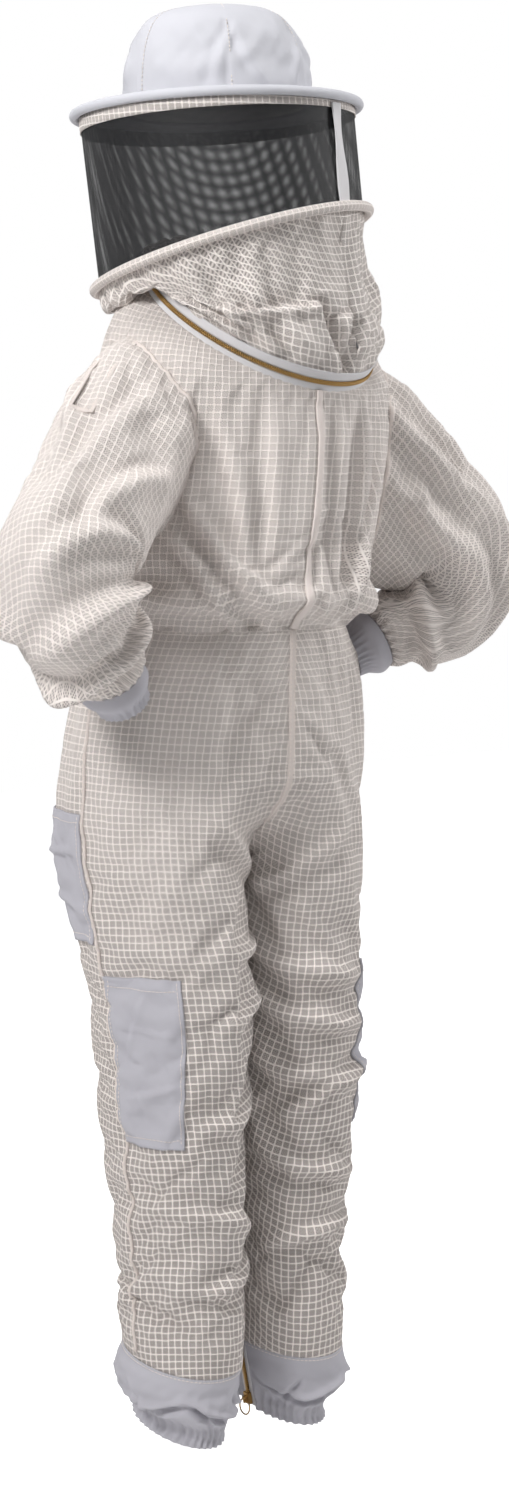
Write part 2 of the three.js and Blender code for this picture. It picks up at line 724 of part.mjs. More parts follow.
function addFrontZip() {
  const frontPoint = (height) =>
    vec(
      FRONT_NECK.x - frontDrift * (FRONT_NECK.z - height),
      FRONT_NECK.y - frontSlope * (FRONT_NECK.z - height),
      height,
    );
  const top = frontPoint(FRONT_NECK.z - NECK_EDGE - 4);
  const foot = frontPoint(HIP_HEIGHT + 4);
  const group = zipGroup(foot, top, vec(0, -1, 0));
  const length = foot.distanceTo(top);
  const half = zipOutline(ZIP_TAPE);
  const toothTop = [
    [TOOTH.half - 0.8, TOOTH.depth],
    [GAP / 2, TOOTH.depth],
  ];
  const outline = [[GAP / 2, 0], ...half.slice(1, 5), ...toothTop];
  const bar = barGeometry(outline, length).translate(0, 0, -TAPE);
  piece("front_zip_right", bar, "brass", group);
  const mirrored = facingOut(mergeVertices(barGeometry(outline.map(([x, z]) => [-x, z]), length), 1e-4));
  piece("front_zip_left", mirrored.translate(0, 0, -TAPE), "brass", group);
  const rest = length - SLIDER.length;
  piece("front_zip_slider", sliderGeometry().translate(0, rest, -TAPE), "brass", group);
  const ring = ringPull(Math.atan(frontSlope)).translate(0, rest, RING_SEAT - TAPE);
  piece("front_zip_ring", ring, "brass", group);
}

const HOOD_SLIDER_TURN = 4.5; // degrees round the neck from the front to each slider

// One half of the hood zip: a ring of tape with a row of teeth at its inner edge, open at the front.
function hoodZipHalf(up) {
  const r = NECK.radius;
  const outline = [
    [r - TAPE, GAP / 2],
    [r + TOOTH.depth - TAPE, GAP / 2],
    [r + TOOTH.depth - TAPE, TOOTH.half],
    [r, TOOTH.half],
    [r, ZIP_TAPE],
    [r - TAPE, ZIP_TAPE],
  ].map(([radius, height]) => [radius, up * height]);
  const frontGap = boxGeometry(2 * NECK_EDGE, 40, 60, 0, -r, 0);
  return cut(ringGeometry(outline, 40), frontGap).rotateZ(-rad(NECK.turn));
}

function addHoodZip() {
  piece("hood_zip_lower", hoodZipHalf(-1), "brass", neckGroup);
  piece("hood_zip_upper", hoodZipHalf(1), "brass", neckGroup);
  [["left", 1], ["right", -1]].forEach(([name, side]) => {
    const group = new THREE.Group();
    group.rotation.z = rad(side * HOOD_SLIDER_TURN - NECK.turn);
    neckGroup.add(group);
    const place = (geometry) =>
      geometry.rotateZ(Math.PI / 2).rotateX(Math.PI / 2).translate(0, TAPE - NECK.radius, 0);
    piece(`hood_slider_${name}`, place(sliderGeometry(true)), "brass", group);
    const ring = ringPull(0).rotateZ(side > 0 ? 0 : Math.PI).translate(0, 0, RING_SEAT);
    piece(`hood_slider_${name}_ring`, place(ring), "brass", group);
  });
}

// ---- Hood: hat, veil, hoops and mesh skirt ----

const lowerHoop = tippedGroup(
  LOWER_HOOP.x,
  LOWER_HOOP.y,
  LOWER_HOOP.height,
  -LOWER_HOOP.tilt,
  LOWER_HOOP.turn,
);
const brimGroup = tippedGroup(BRIM.x, BRIM.y, BRIM.height, -BRIM.tilt);

const TUNNEL_MOUTH = BRIM.thickness / 2 + GAP; // half the opening where the tunnel is stitched down
const WIRE_RADIUS = HOOP.radius + HOOP.tunnel - HOOP.cloth - HOOP.wire - 2 * GAP;

// A cloth tunnel round a hoop's wire, open on the inner side.
function tunnelGeometry() {
  const arc = (radius, reverse) => {
    const mouth = Math.asin(TUNNEL_MOUTH / radius);
    const points = steps(7).map((share) => {
      const angle = Math.PI + lerp(mouth, 2 * Math.PI - mouth, share);
      return [HOOP.radius + radius * Math.cos(angle), radius * Math.sin(angle)];
    });
    return reverse ? points.reverse() : points;
  };
  return ringGeometry([...arc(HOOP.tunnel), ...arc(HOOP.tunnel - HOOP.cloth, true)], 36);
}

const wireGeometry = () => ringGeometry(circleOutline(WIRE_RADIUS, HOOP.wire, 5), 36);

// The crown's side in a gore's plane: share of the height, radius as a share of the base.
const CROWN_SIDE = [[0, 1], [0.25, 0.975], [0.5, 0.93], [0.7, 0.84], [0.85, 0.68], [0.95, 0.42], [1, 0.03]];

function goreGeometry(number) {
  const width = (2 * Math.PI) / CROWN.gores;
  const grid = (inset) =>
    CROWN_SIDE.map(([up, out]) => {
      const radius = Math.max(CROWN.base * out - inset * Math.cos((up * Math.PI) / 2), 2.5);
      const height = CROWN.height * up - inset * Math.sin((up * Math.PI) / 2);
      const seam = GAP / 2 / radius;
      return steps(4).map((share) => {
        const angle = number * width + lerp(seam, width - seam, share);
        return vec(radius * Math.cos(angle), radius * Math.sin(angle), height);
      });
    });
  return shellGeometry(grid(0), grid(COTTON));
}

function addHat() {
  steps(CROWN.gores - 1).forEach((_, number) => {
    const gore = goreGeometry(number).translate(0, 0, BRIM.thickness / 2 + GAP);
    piece(`crown_gore_${number + 1}`, gore, "cotton", brimGroup);
  });
  const brimOuter = WIRE_RADIUS - HOOP.wire - 2 * GAP;
  const brim = [
    [BRIM.inner - 4, -BRIM.thickness / 2],
    [brimOuter, -BRIM.thickness / 2],
    [brimOuter, BRIM.thickness / 2],
    [BRIM.inner - 4, BRIM.thickness / 2],
  ];
  piece("brim", ringGeometry(brim), "cotton", brimGroup);
  piece("brim_edge_piping", tunnelGeometry(), "cotton", brimGroup);
  piece("brim_wire", wireGeometry(), "steel", brimGroup);
  const bandLow = BRIM.thickness / 2 + GAP;
  const sweatband = bandOutline(SWEATBAND.radius, ELASTIC, bandLow, bandLow + SWEATBAND.height);
  piece("sweatband", ringGeometry(sweatband), "elastic", brimGroup);
}

const VEIL_DROP = BRIM.thickness / 2 + GAP;
const VEIL_FOOT = 0.5;

const BAND_TOP = 0.985; // share of the veil's height at which its binding band ends

function veilRow(radius, share, bearings) {
  return bearings.map((bearing) => {
    const top = onCircle(brimGroup, radius, bearing, -VEIL_DROP);
    const foot = onCircle(lowerHoop, radius, bearing, VEIL_FOOT);
    return foot.lerp(top, share);
  });
}

function addVeil() {
  const round = steps(36).slice(1).map((share) => share * 2 * Math.PI);
  const wall = (radius, low, high) => [low, high].map((share) => veilRow(radius, share, round));
  const mesh = shellGeometry(wall(VEIL.radius, 0, 1), wall(VEIL.radius - VEIL.mesh, 0, 1), true);
  piece("veil_mesh", mesh, "veil");
  const inner = VEIL.radius - VEIL.mesh - GAP;
  const bandShares = [BAND_TOP - VEIL.bandHeight / VEIL.height, BAND_TOP];
  const band = shellGeometry(wall(inner, ...bandShares), wall(inner - TAPE, ...bandShares), true);
  piece("veil_top_band", band, "cotton");
  const half = VEIL_TAPE.width / 2 / VEIL.radius;
  const middle = rad(90 + VEIL_TAPE.turn);
  const bearings = steps(3).map((share) => lerp(middle - half, middle + half, share));
  const tapeWall = (lift) =>
    [0.06, 0.5, 0.94].map((share) => veilRow(VEIL.radius + 2 * GAP + lift, share, bearings));
  piece("veil_seam_tape", shellGeometry(tapeWall(TAPE), tapeWall(0)), "tape");
}

// The mesh skirt below the veil, from the hood zip to the lower hoop. It stands out over the right
// shoulder blade and folds over the zip at the left breast, where the hoop hangs lower than the zip.
const SKIRT_ROWS = 7;

function skirtPoint(bearing, share) {
  const start = onCircle(neckGroup, NECK.radius, bearing, ZIP_TAPE + 3 * GAP);
  const end = onCircle(lowerHoop, VEIL.radius, bearing, -VEIL_FOOT);
  const out = vec(Math.cos(bearing), Math.sin(bearing), 0);
  const rise = end.z - start.z;
  const hanging = smoothstep(rise, -20, 60);
  const lowHandle = start
    .clone()
    .addScaledVector(out, lerp(3, 14, hanging))
    .add(vec(0, 0, lerp(42, 24 + 0.16 * rise, hanging)));
  const highHandle = end
    .clone()
    .addScaledVector(out, lerp(-3, -12, hanging))
    .add(vec(0, 0, lerp(-34, -0.42 * rise, hanging)));
  return new THREE.CubicBezierCurve3(start, lowHandle, highHandle, end).getPoint(share);
}

// The point of the skirt's inner face behind a point of its outer face.
function skirtLining(bearing, share) {
  const step = 0.01;
  const around = skirtPoint(bearing + step, share).sub(skirtPoint(bearing - step, share));
  const [below, above] = [Math.max(share - step, 0), Math.min(share + step, 1)];
  const up = skirtPoint(bearing, above).sub(skirtPoint(bearing, below));
  const outward = around.cross(up).normalize();
  return skirtPoint(bearing, share).addScaledVector(outward, -FABRIC);
}

function skirtGeometry(from, to) {
  const grid = (face) =>
    steps(SKIRT_ROWS).map((share) =>
      steps(13).map((round) => {
        const seam = GAP / NECK.radius;
        const bearing = lerp(rad(from) + seam, rad(to) - seam, round);
        return face(bearing, share);
      }),
    );
  return shellGeometry(grid(skirtPoint), grid(skirtLining));
}

function addHood() {
  piece("lower_hoop_piping", tunnelGeometry(), "mesh", lowerHoop);
  piece("lower_hoop_wire", wireGeometry(), "steel", lowerHoop);
  const backSeamTurn = 90 + VEIL_TAPE.turn;
  piece("hood_skirt_left", skirtGeometry(-90, backSeamTurn), "mesh");
  piece("hood_skirt_right", skirtGeometry(backSeamTurn, 270), "mesh");
}

// ---- Assembly ----

function addBody() {
  const armholes = { left: armholeTool(LEFT_SLEEVE), right: armholeTool(RIGHT_SLEEVE) };
  [["left", 1], ["right", -1]].forEach(([name, side]) => {
    [["back", true], ["front", false]].forEach(([face, toBack]) => {
      piece(`${face}_bodice_${name}`, cut(bodicePanel(side, toBack), armholes[name]), "mesh");
      piece(`${face}_trouser_${name}`, trouserPanel(side, toBack), "mesh");
    });
    piece(`hip_pocket_${name}`, pocketGeometry(side, HIP_POCKET), "cotton");
    piece(`thigh_pocket_${name}`, pocketGeometry(side, THIGH_POCKET), "cotton");
    addGaiter(name, side);
  });
  addSleeve("left", LEFT_SLEEVE);
  addSleeve("right", RIGHT_SLEEVE);
  piece("back_seam_binding", backSeam(), "tape");
  piece("seat_seam_binding", seatSeam(), "tape");
  piece("waist_elastic", waistElastic(), "elastic");
}

addBody();
addFrontZip();
addHoodZip();
addHat();
addVeil();
addHood();

export default suit;
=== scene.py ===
"""A ventilated beekeeping suit with a round veil hat, as cloth over its fixed CAD frame."""
import math

import bmesh
import bpy
import numpy as np
from bpy.props import FloatProperty, FloatVectorProperty, PointerProperty
from mathutils import Matrix, Vector
from mathutils.kdtree import KDTree


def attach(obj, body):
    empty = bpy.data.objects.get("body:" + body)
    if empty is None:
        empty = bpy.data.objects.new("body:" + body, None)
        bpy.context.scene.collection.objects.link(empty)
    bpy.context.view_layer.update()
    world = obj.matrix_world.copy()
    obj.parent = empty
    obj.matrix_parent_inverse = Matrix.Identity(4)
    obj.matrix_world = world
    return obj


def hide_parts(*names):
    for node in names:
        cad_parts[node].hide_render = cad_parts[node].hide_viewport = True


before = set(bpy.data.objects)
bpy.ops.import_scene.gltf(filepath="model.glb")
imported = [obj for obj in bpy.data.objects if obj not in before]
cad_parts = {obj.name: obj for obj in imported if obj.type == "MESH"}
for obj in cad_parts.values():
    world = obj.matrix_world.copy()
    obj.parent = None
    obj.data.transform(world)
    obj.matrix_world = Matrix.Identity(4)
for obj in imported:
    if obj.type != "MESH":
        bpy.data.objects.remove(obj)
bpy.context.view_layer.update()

bl_info = {
    "name": "Beekeeping suit",
    "version": (1, 0, 0),
    "blender": (4, 5, 0),
    "location": "3D View > Sidebar > Suit",
    "description": "Builds the cloth, hat, veil and zips of a ventilated beekeeping suit",
    "category": "Add Mesh",
}

# ---- The suit's shape, in millimetres from the wearer's floor; the wearer faces -Y ----

NECK_HEIGHT = 1358
SHOULDER = NECK_HEIGHT - 96
WAIST = 1000
HIP = 800
SEAT = 830
CROTCH = 670
HEM = 140
GAITER = 90
ZIP_TAPE = 9
HOOP_RADIUS = 167
VEIL_RADIUS = 160.6
NECK_RADIUS = 143
BRIM_INNER = 103
CROWN_BASE = 110
CROWN_HEIGHT = 116
FRONT_HIP = -165
CUFF = [(0, 36, 38), (14, 40, 42), (30, 31, 33), (42, 29, 31)]  # along, half in and half across
MESH_CLOTH = 3  # thickness of the three-layer mesh
FREEDOM = 0.86  # how far the simulation may let go of a loose stretch of cloth
HIP_POCKET = (640, 790, -3, -62)  # low, high, and its two edges in degrees from the outseam
THIGH_POCKET = (408, 606, 0, 54)


class Tipped:
    """A circle's frame: turned about the upright and then tipped."""

    def __init__(self, x, y, z, tilt, turn=0):
        self.origin = np.array([x, y, z], float)
        self.turn = math.radians(turn)
        turned = Matrix.Rotation(self.turn, 3, "Z")
        self.basis = np.array(turned @ Matrix.Rotation(math.radians(-tilt), 3, "X"))

    def points(self, local):
        return self.origin + np.asarray(local) @ self.basis.T

    def circle(self, radius, bearing, lift):
        angle = bearing - self.turn
        zero = np.zeros_like(angle * 1.0)
        local = np.stack([radius * np.cos(angle), radius * np.sin(angle), lift + zero], -1)
        return self.points(local)

    def matrix(self):
        """Its place in the scene, for a mesh made in metres at the origin."""
        placed = Matrix(self.basis.tolist()).to_4x4()
        placed.translation = Vector(metres(self.origin))
        return placed


def metres(points):
    return (np.asarray(points, float) - [0, 0, NECK_HEIGHT]) / 1000


NECK = Tipped(-36, 44, NECK_HEIGHT, 33, 12)
LOWER_HOOP = Tipped(-15, 17, NECK_HEIGHT + 76, -17.2, 35)
BRIM = Tipped(-15, -12, NECK_HEIGHT + 239, -4)
FRONT_NECK = NECK.circle(NECK_RADIUS, -math.pi / 2, 0)
FRONT_SLOPE = (FRONT_NECK[1] - FRONT_HIP) / (FRONT_NECK[2] - HIP)
FRONT_DRIFT = FRONT_NECK[0] / (FRONT_NECK[2] - HIP)

# Height, half width, depth at the back, centre's y, tilt.
BODICE = [
    (WAIST, 148, 130, 0, 0),
    (WAIST + 18, 151, 136, 0, 0),
    (WAIST + 40, 162, 150, 0, 0),
    (1118, 174, 156, 2, 3),
    (1196, 186, 156, 5, 9),
    (SHOULDER, 190, 154, 10, 15),
]
# Height, half width, depth at the back.
TROUSERS = [
    (WAIST, 148, 130),
    (978, 158, 134),
    (930, 178, 138),
    (870, 188, 143),
    (HIP, 190, 144),
    (730, 189, 144),
    (CROTCH, 186, 138),
]
# Height, centre's x and y, half width, half depth.
LEFT_LEG = [
    (SEAT, 94, -8, 94, 150),
    (CROTCH, 88, 6, 87, 121),
    (560, 81, 19, 80, 115),
    (440, 80, 26, 76, 101),
    (320, 78, 32, 71, 88),
    (200, 77, 36, 68, 82),
    (HEM, 76, 38, 66, 80),
]


def smooth(rows, key):
    """Values of a table at keys, along smooth curves through its rows."""
    rows = np.array(rows, float)
    rows = rows[np.argsort(rows[:, 0])]
    keys, values = rows[:, 0], rows[:, 1:]
    key = np.clip(key, keys[0], keys[-1])
    slope = np.gradient(values, keys, axis=0)
    i = np.clip(np.searchsorted(keys, key, side="right") - 1, 0, len(keys) - 2)
    span = keys[i + 1] - keys[i]
    t = ((key - keys[i]) / span)[..., None]
    span = span[..., None]
    a, b = values[i], values[i + 1]
    rise = (2 * t**3 - 3 * t**2 + 1) * a + (3 * t**2 - 2 * t**3) * b
    bend = (t**3 - 2 * t**2 + t) * slope[i] + (t**3 - t**2) * slope[i + 1]
    result = rise + bend * span
    return [result[..., k] for k in range(values.shape[1])]


def smoothstep(value, low, high):
    t = np.clip((value - low) / (high - low), 0, 1)
    return t * t * (3 - 2 * t)


def lerp(a, b, t):
    return a + (b - a) * t


# ---- Surfaces ----


def front_depth(height, centre_y, tilt):
    away = centre_y - FRONT_NECK[1] + FRONT_SLOPE * (FRONT_NECK[2] - height)
    return away / (np.cos(tilt) + FRONT_SLOPE * np.sin(tilt))


def bodice_section(height, angle):
    half_width, back, centre_y, tilt = smooth(BODICE, height)
    tilt = np.radians(tilt)
    front = front_depth(height, centre_y, tilt)
    front_height = height + front * np.sin(tilt)
    centre_x = FRONT_DRIFT * (front_height - HIP)
    along = np.where(np.sin(angle) < 0, front, back) * np.sin(angle)
    return np.stack(
        [
            centre_x + half_width * np.cos(angle),
            centre_y + along * np.cos(tilt),
            height - along * np.sin(tilt),
        ],
        -1,
    )


def bodice_surface(height, angle):
    """Angle 0 is the wearer's left, 90 degrees the back and -90 the front."""
    top = NECK_HEIGHT - ZIP_TAPE
    up = np.clip((height - SHOULDER) / (top - SHOULDER), 0, 1)[..., None]
    low = bodice_section(np.minimum(height, SHOULDER), angle)
    neck = NECK.circle(NECK_RADIUS, angle, -ZIP_TAPE)
    point = lerp(low, neck, up)
    rounding = 16 * np.sin(up[..., 0] * math.pi) * np.cos(angle) ** 2
    point[..., 0] += rounding * np.sign(np.cos(angle))
    point[..., 2] += rounding
    return point


def trouser_surface(side, height, angle):
    """One half of the trousers: angle 0 at the outseam, 180 degrees at the middle or inseam."""
    leg_x, leg_y, half_x, half_y = smooth(LEFT_LEG, np.minimum(height, SEAT))
    leg = np.stack([leg_x + half_x * np.cos(angle), leg_y + half_y * np.sin(angle)], -1)
    half_width, back = smooth(TROUSERS, np.maximum(height, CROTCH))
    front = np.minimum(front_depth(np.maximum(height, HIP), 0, 0), -FRONT_HIP)
    depth = np.where(angle < 0, front, back)
    centre = side * FRONT_DRIFT * np.maximum(height - HIP, 0)
    seat = [centre + half_width * np.cos(angle / 2), depth * np.sin(angle / 2)]
    parting = 1 - smoothstep(height, CROTCH, SEAT)
    x = lerp(seat[0], leg[..., 0], parting)
    y = lerp(seat[1], leg[..., 1], parting)
    hem = smoothstep(HEM + 120 - height, 0, 120) * math.tan(math.radians(12))
    return np.stack([side * x, y, height - hem * (y - leg_y)], -1)


def skirt_surface(share, bearing):
    """The hood's mesh skirt, from the zip (share 0) to the lower hoop (share 1)."""
    start = NECK.circle(NECK_RADIUS, bearing, ZIP_TAPE + 0.9)
    end = LOWER_HOOP.circle(VEIL_RADIUS, bearing, -0.5)
    out = np.stack([np.cos(bearing), np.sin(bearing), 0 * bearing], -1)
    up = np.array([0, 0, 1.0])
    rise = end[..., 2] - start[..., 2]
    hanging = smoothstep(rise, -20, 60)[..., None]
    rise = rise[..., None]
    low = start + out * lerp(3, 14, hanging) + up * lerp(42, 24 + 0.16 * rise, hanging)
    high = end + out * lerp(-3, -12, hanging) + up * lerp(-34, -0.42 * rise, hanging)
    t = share[..., None]
    return (
        (1 - t) ** 3 * start + 3 * t * (1 - t) ** 2 * low + 3 * t**2 * (1 - t) * high + t**3 * end
    )


class Sleeve:
    """A tube along a line that runs straight, bends at the elbow and runs straight again."""

    def __init__(self, shoulder, elbow, wrist, bend, sizes):
        self.shoulder, self.elbow, self.wrist = (np.array(p, float) for p in (shoulder, elbow, wrist))
        self.bend, self.sizes = bend, sizes
        self.down = unit(self.elbow - self.shoulder)
        self.back = unit(self.wrist - self.elbow)
        self.across = unit(np.cross(self.down, self.back))
        self.angle = math.acos(float(self.down @ self.back))
        reach = bend * math.tan(self.angle / 2)
        self.upper = np.linalg.norm(self.elbow - self.shoulder) - reach
        self.arc = bend * self.angle
        self.length = self.upper + self.arc + np.linalg.norm(self.wrist - self.elbow) - reach
        self.corner = self.elbow - self.down * reach
        self.inward = np.cross(self.across, self.down)

    def frame(self, distance):
        """Centre, outward direction and half sizes at distances from the shoulder end."""
        turn = np.clip((distance - self.upper) / self.arc, 0, 1)[..., None] * self.angle
        before = np.minimum(distance - self.upper, 0)[..., None]
        after = np.maximum(distance - self.upper - self.arc, 0)[..., None]
        outward = self.down * np.sin(turn) - self.inward * np.cos(turn)
        along = self.down * np.cos(turn) + self.inward * np.sin(turn)
        centre = self.corner + self.inward * self.bend + outward * self.bend
        centre = centre + before * self.down + after * self.back
        return centre, outward, along

    def surface(self, distance, angle):
        centre, outward, _ = self.frame(distance)
        half_in, half_across = smooth(self.sizes, distance / self.length)
        spoke_in = (half_in * np.cos(angle))[..., None] * outward
        spoke_across = (half_across * np.sin(angle))[..., None] * self.across
        return centre + spoke_in + spoke_across


def unit(vector):
    return vector / np.linalg.norm(vector)


LEFT_SLEEVE = Sleeve(
    (96, 14, SHOULDER + 2),
    (322, 130, WAIST + 78),
    (216, 92, WAIST - 50),
    70,
    [(0, 96, 74), (0.22, 88, 80), (0.45, 76, 76), (0.62, 72, 76), (0.8, 66, 70), (0.92, 54, 56), (1, 36, 38)],
)
RIGHT_SLEEVE = Sleeve(
    (-124, 0, SHOULDER - 48),
    (-384, 84, WAIST + 54),
    (-228, 29, WAIST - 28),
    62,
    [(0, 128, 84), (0.2, 120, 80), (0.4, 98, 74), (0.58, 72, 68), (0.8, 62, 62), (0.92, 50, 50), (1, 36, 38)],
)

# ---- Folds ----


def fold(u, v, start, end, width, height, bow=0.0):
    """A ridge (or a valley, with a negative height) from start to end, all in millimetres."""
    a, b = np.array(start, float), np.array(end, float)
    line = b - a
    length = np.hypot(*line)
    du, dv = u - a[0], v - a[1]
    t = (du * line[0] + dv * line[1]) / length**2
    off = (dv * line[0] - du * line[1]) / length - bow * np.sin(np.clip(t, 0, 1) * math.pi)
    ends = smoothstep(t, -0.15, 0.25) * (1 - smoothstep(t, 0.75, 1.15))
    sharp = np.exp(-((off / width) ** 2)) - 0.45 * np.exp(-(((off - 1.6 * width) / width) ** 2))
    return height * ends * sharp


def ripples(u, v, seed, wavelength, height, stretch=(1.0, 1.0)):
    """Soft unevenness, made of a few waves in every direction."""
    rng = np.random.default_rng(seed)
    total = 0 * u
    for _ in range(7):
        angle = rng.uniform(0, math.pi)
        size = wavelength * rng.uniform(0.6, 1.7)
        shift = rng.uniform(0, 2 * math.pi)
        warp = 0.8 * np.sin(v / size * 1.9 + shift) + 0.8 * np.cos(u / size * 1.3 - shift)
        phase = (u * math.cos(angle) / stretch[0] + v * math.sin(angle) / stretch[1]) / size
        total = total + np.sin(phase * 2 * math.pi + warp + shift)
    return total * height / 7


# ---- Grids of points ----


def at_shares(values, where):
    """Values along the first axis of a grid, at smooth in-between places counted in rows."""
    where = np.clip(where, 0, len(values) - 1)
    slope = np.gradient(values, axis=0)
    i = np.clip(np.floor(where).astype(int), 0, len(values) - 2)
    t = (where - i).reshape(where.shape + (1,) * (values.ndim - 1))
    rise = (2 * t**3 - 3 * t**2 + 1) * values[i] + (3 * t**2 - 2 * t**3) * values[i + 1]
    return rise + (t**3 - 2 * t**2 + t) * slope[i] + (t**3 - t**2) * slope[i + 1]


def resize(grid, rows, columns):
    """The same surface with another number of rows and columns."""
    grid = at_shares(grid, np.linspace(0, len(grid) - 1, rows))
    grid = np.swapaxes(grid, 0, 1)
    grid = at_shares(grid, np.linspace(0, len(grid) - 1, columns))
    return np.swapaxes(grid, 0, 1)


def sample(grid, row, column):
    """Points of a grid at fractional rows and columns."""
    i = np.clip(np.floor(row).astype(int), 0, grid.shape[0] - 2)
    j = np.clip(np.floor(column).astype(int), 0, grid.shape[1] - 2)
    a, b = (row - i)[..., None], (column - j)[..., None]
    low = lerp(grid[i, j], grid[i, j + 1], b)
    return lerp(low, lerp(grid[i + 1, j], grid[i + 1, j + 1], b), a)


def arc_lengths(points):
    """How far each point of a grid lies along its row and along its column, in millimetres."""
    along_row = np.linalg.norm(np.diff(points, axis=1), axis=-1)
    along_column = np.linalg.norm(np.diff(points, axis=0), axis=-1)
    u = np.concatenate([np.zeros((len(points), 1)), np.cumsum(along_row, 1)], 1)
    v = np.concatenate([np.zeros((1, points.shape[1])), np.cumsum(along_column, 0)], 0)
    return u, v


def drape(points, pins, growth, closed=False, weight=0.3, frames=22, seed=1):
    """Lets a grid of cloth grow, buckle and sag, held where its pins are near 1."""
    shape = points.shape[:2]
    rows, columns = shape[0] // 2, shape[1] // 2
    start = resize(points, rows, columns)
    held = np.clip(resize(pins[..., None], rows, columns)[..., 0], 0, 1)
    noise = np.random.default_rng(seed).normal(0, 0.25, start.shape) * (1 - held)[..., None]
    mesh = bpy.data.meshes.new("draped")
    at = np.arange(rows * columns).reshape(rows, columns)
    if closed:
        at[:, -1] = at[:, 0]
    quads = np.stack([at[:-1, :-1], at[:-1, 1:], at[1:, 1:], at[1:, :-1]], -1).reshape(-1, 4)
    mesh.from_pydata(metres(start + noise).reshape(-1, 3).tolist(), [], quads.tolist())
    sheet = bpy.data.objects.new("draped", mesh)
    bpy.context.collection.objects.link(sheet)
    group = sheet.vertex_groups.new(name="held")
    for index, value in enumerate(held.reshape(-1)):
        group.add([index], float(value), "REPLACE")
    cloth_modifier = sheet.modifiers.new("cloth", "CLOTH")
    fabric = cloth_modifier.settings
    fabric.quality = 6
    fabric.mass = weight
    fabric.tension_stiffness = 20
    fabric.compression_stiffness = 8
    fabric.shear_stiffness = 4
    fabric.bending_stiffness = 0.6
    fabric.shrink_min = -growth
    fabric.vertex_group_mass = "held"
    fabric.pin_stiffness = 1
    fabric.effector_weights.gravity = 0.14
    cloth_modifier.collision_settings.use_collision = False
    cloth_modifier.point_cache.frame_end = frames
    for number in range(1, frames + 1):
        bpy.context.scene.frame_set(number)
    shaped = sheet.evaluated_get(bpy.context.evaluated_depsgraph_get()).data
    result = np.empty(len(shaped.vertices) * 3, np.float32)
    shaped.vertices.foreach_get("co", result)
    result = result.reshape(rows, columns, 3) * 1000.0 + [0, 0, NECK_HEIGHT]
    if closed:
        result[:, -1] = result[:, 0]
    bpy.data.objects.remove(sheet)
    bpy.data.meshes.remove(mesh)
    bpy.context.scene.frame_set(1)
    return points + resize(result - start, *shape)


# ---- Meshes of cloth ----


def grid_normals(points, closed=False):
    if closed:
        around = np.roll(points[:, :-1], -1, 1) - np.roll(points[:, :-1], 1, 1)
        around = np.concatenate([around, around[:, :1]], 1)
    else:
        around = np.gradient(points, axis=1)
    normal = np.cross(around, np.gradient(points, axis=0))
    size = np.linalg.norm(normal, axis=-1, keepdims=True)
    return normal / np.maximum(size, 1e-9)


def cloth(name, points, uv, thickness, material, body, nodes, flip=False, closed=False):
    """A layer of cloth of some thickness from a grid of outer points, with its weave's coordinates."""
    rows, columns = points.shape[:2]
    if closed:
        points = np.concatenate([points[:, :-1], points[:, :1]], 1)
    normal = grid_normals(points, closed) * (-1 if flip else 1)
    inner = points - normal * thickness
    vertices = metres(np.concatenate([points.reshape(-1, 3), inner.reshape(-1, 3)]))
    at = np.arange(rows * columns).reshape(rows, columns)
    quads = np.stack([at[:-1, :-1], at[:-1, 1:], at[1:, 1:], at[1:, :-1]], -1).reshape(-1, 4)
    back = quads[:, ::-1] + rows * columns
    edge = [at[0], at[-1][::-1]]
    if not closed:
        edge += [at[::-1, 0], at[:, -1]]
    rim = []
    for line in edge:
        rim.append(np.stack([line[1:], line[:-1], line[:-1] + at.size, line[1:] + at.size], -1))
    faces = np.concatenate([quads, back] + rim)
    if flip:
        faces = faces[:, ::-1]
    mesh = bpy.data.meshes.new(name)
    mesh.from_pydata(vertices.tolist(), [], faces.tolist())
    layer = mesh.uv_layers.new(name="weave")
    flat = np.concatenate([uv.reshape(-1, 2)] * 2) / 1000
    layer.data.foreach_set("uv", flat[faces.reshape(-1)].astype(np.float32).reshape(-1))
    if closed:
        bm = bmesh.new()
        bm.from_mesh(mesh)
        bmesh.ops.remove_doubles(bm, verts=bm.verts, dist=1e-6)
        bm.to_mesh(mesh)
        bm.free()
    mesh.polygons.foreach_set("use_smooth", np.ones(len(mesh.polygons), bool))
    piece = bpy.data.objects.new(name, mesh)
    bpy.context.collection.objects.link(piece)
    return settle(piece, material, body, nodes)


def settle(piece, material, body, nodes):
    """Gives a piece its material, the body it moves with and the CAD nodes it stands for."""
    piece.data.materials.clear()
    piece.data.materials.append(material)
    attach(piece, body)
    if nodes:
        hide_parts(*nodes)
    return piece


def declare(points):
    """States how large a sheet was cut, from the lengths of its own grid."""
    u, v = arc_lengths(points)
    width, length = float(u[:, -1].max()) / 1000, float(v[-1].max()) / 1000
    sides = np.cross(points[1:, 1:] - points[:-1, :-1], points[1:, :-1] - points[:-1, 1:])
    area = float(np.linalg.norm(sides, axis=-1).sum()) / 2e6
    area = min(area, width * length)


# ---- Materials ----


def linear(hex_colour):
    """The linear values of an sRGB colour written as six hex digits."""
    values = [int(hex_colour[i : i + 2], 16) / 255 for i in (0, 2, 4)]
    return [c / 12.92 if c <= 0.04045 else ((c + 0.055) / 1.055) ** 2.4 for c in values] + [1]


def add(tree, kind, inputs=(), **settings):
    """Adds a node, sets it, fills or links its inputs by place, and returns its first output."""
    node = tree.nodes.new(kind)
    for name, value in settings.items():
        setattr(node, name, value)
    for place, value in enumerate(inputs):
        if isinstance(value, bpy.types.NodeSocket):
            tree.links.new(value, node.inputs[place])
        elif value is not None:
            node.inputs[place].default_value = value
    return node.outputs[0]


def maths(tree, operation, *inputs):
    return add(tree, "ShaderNodeMath", inputs, operation=operation)


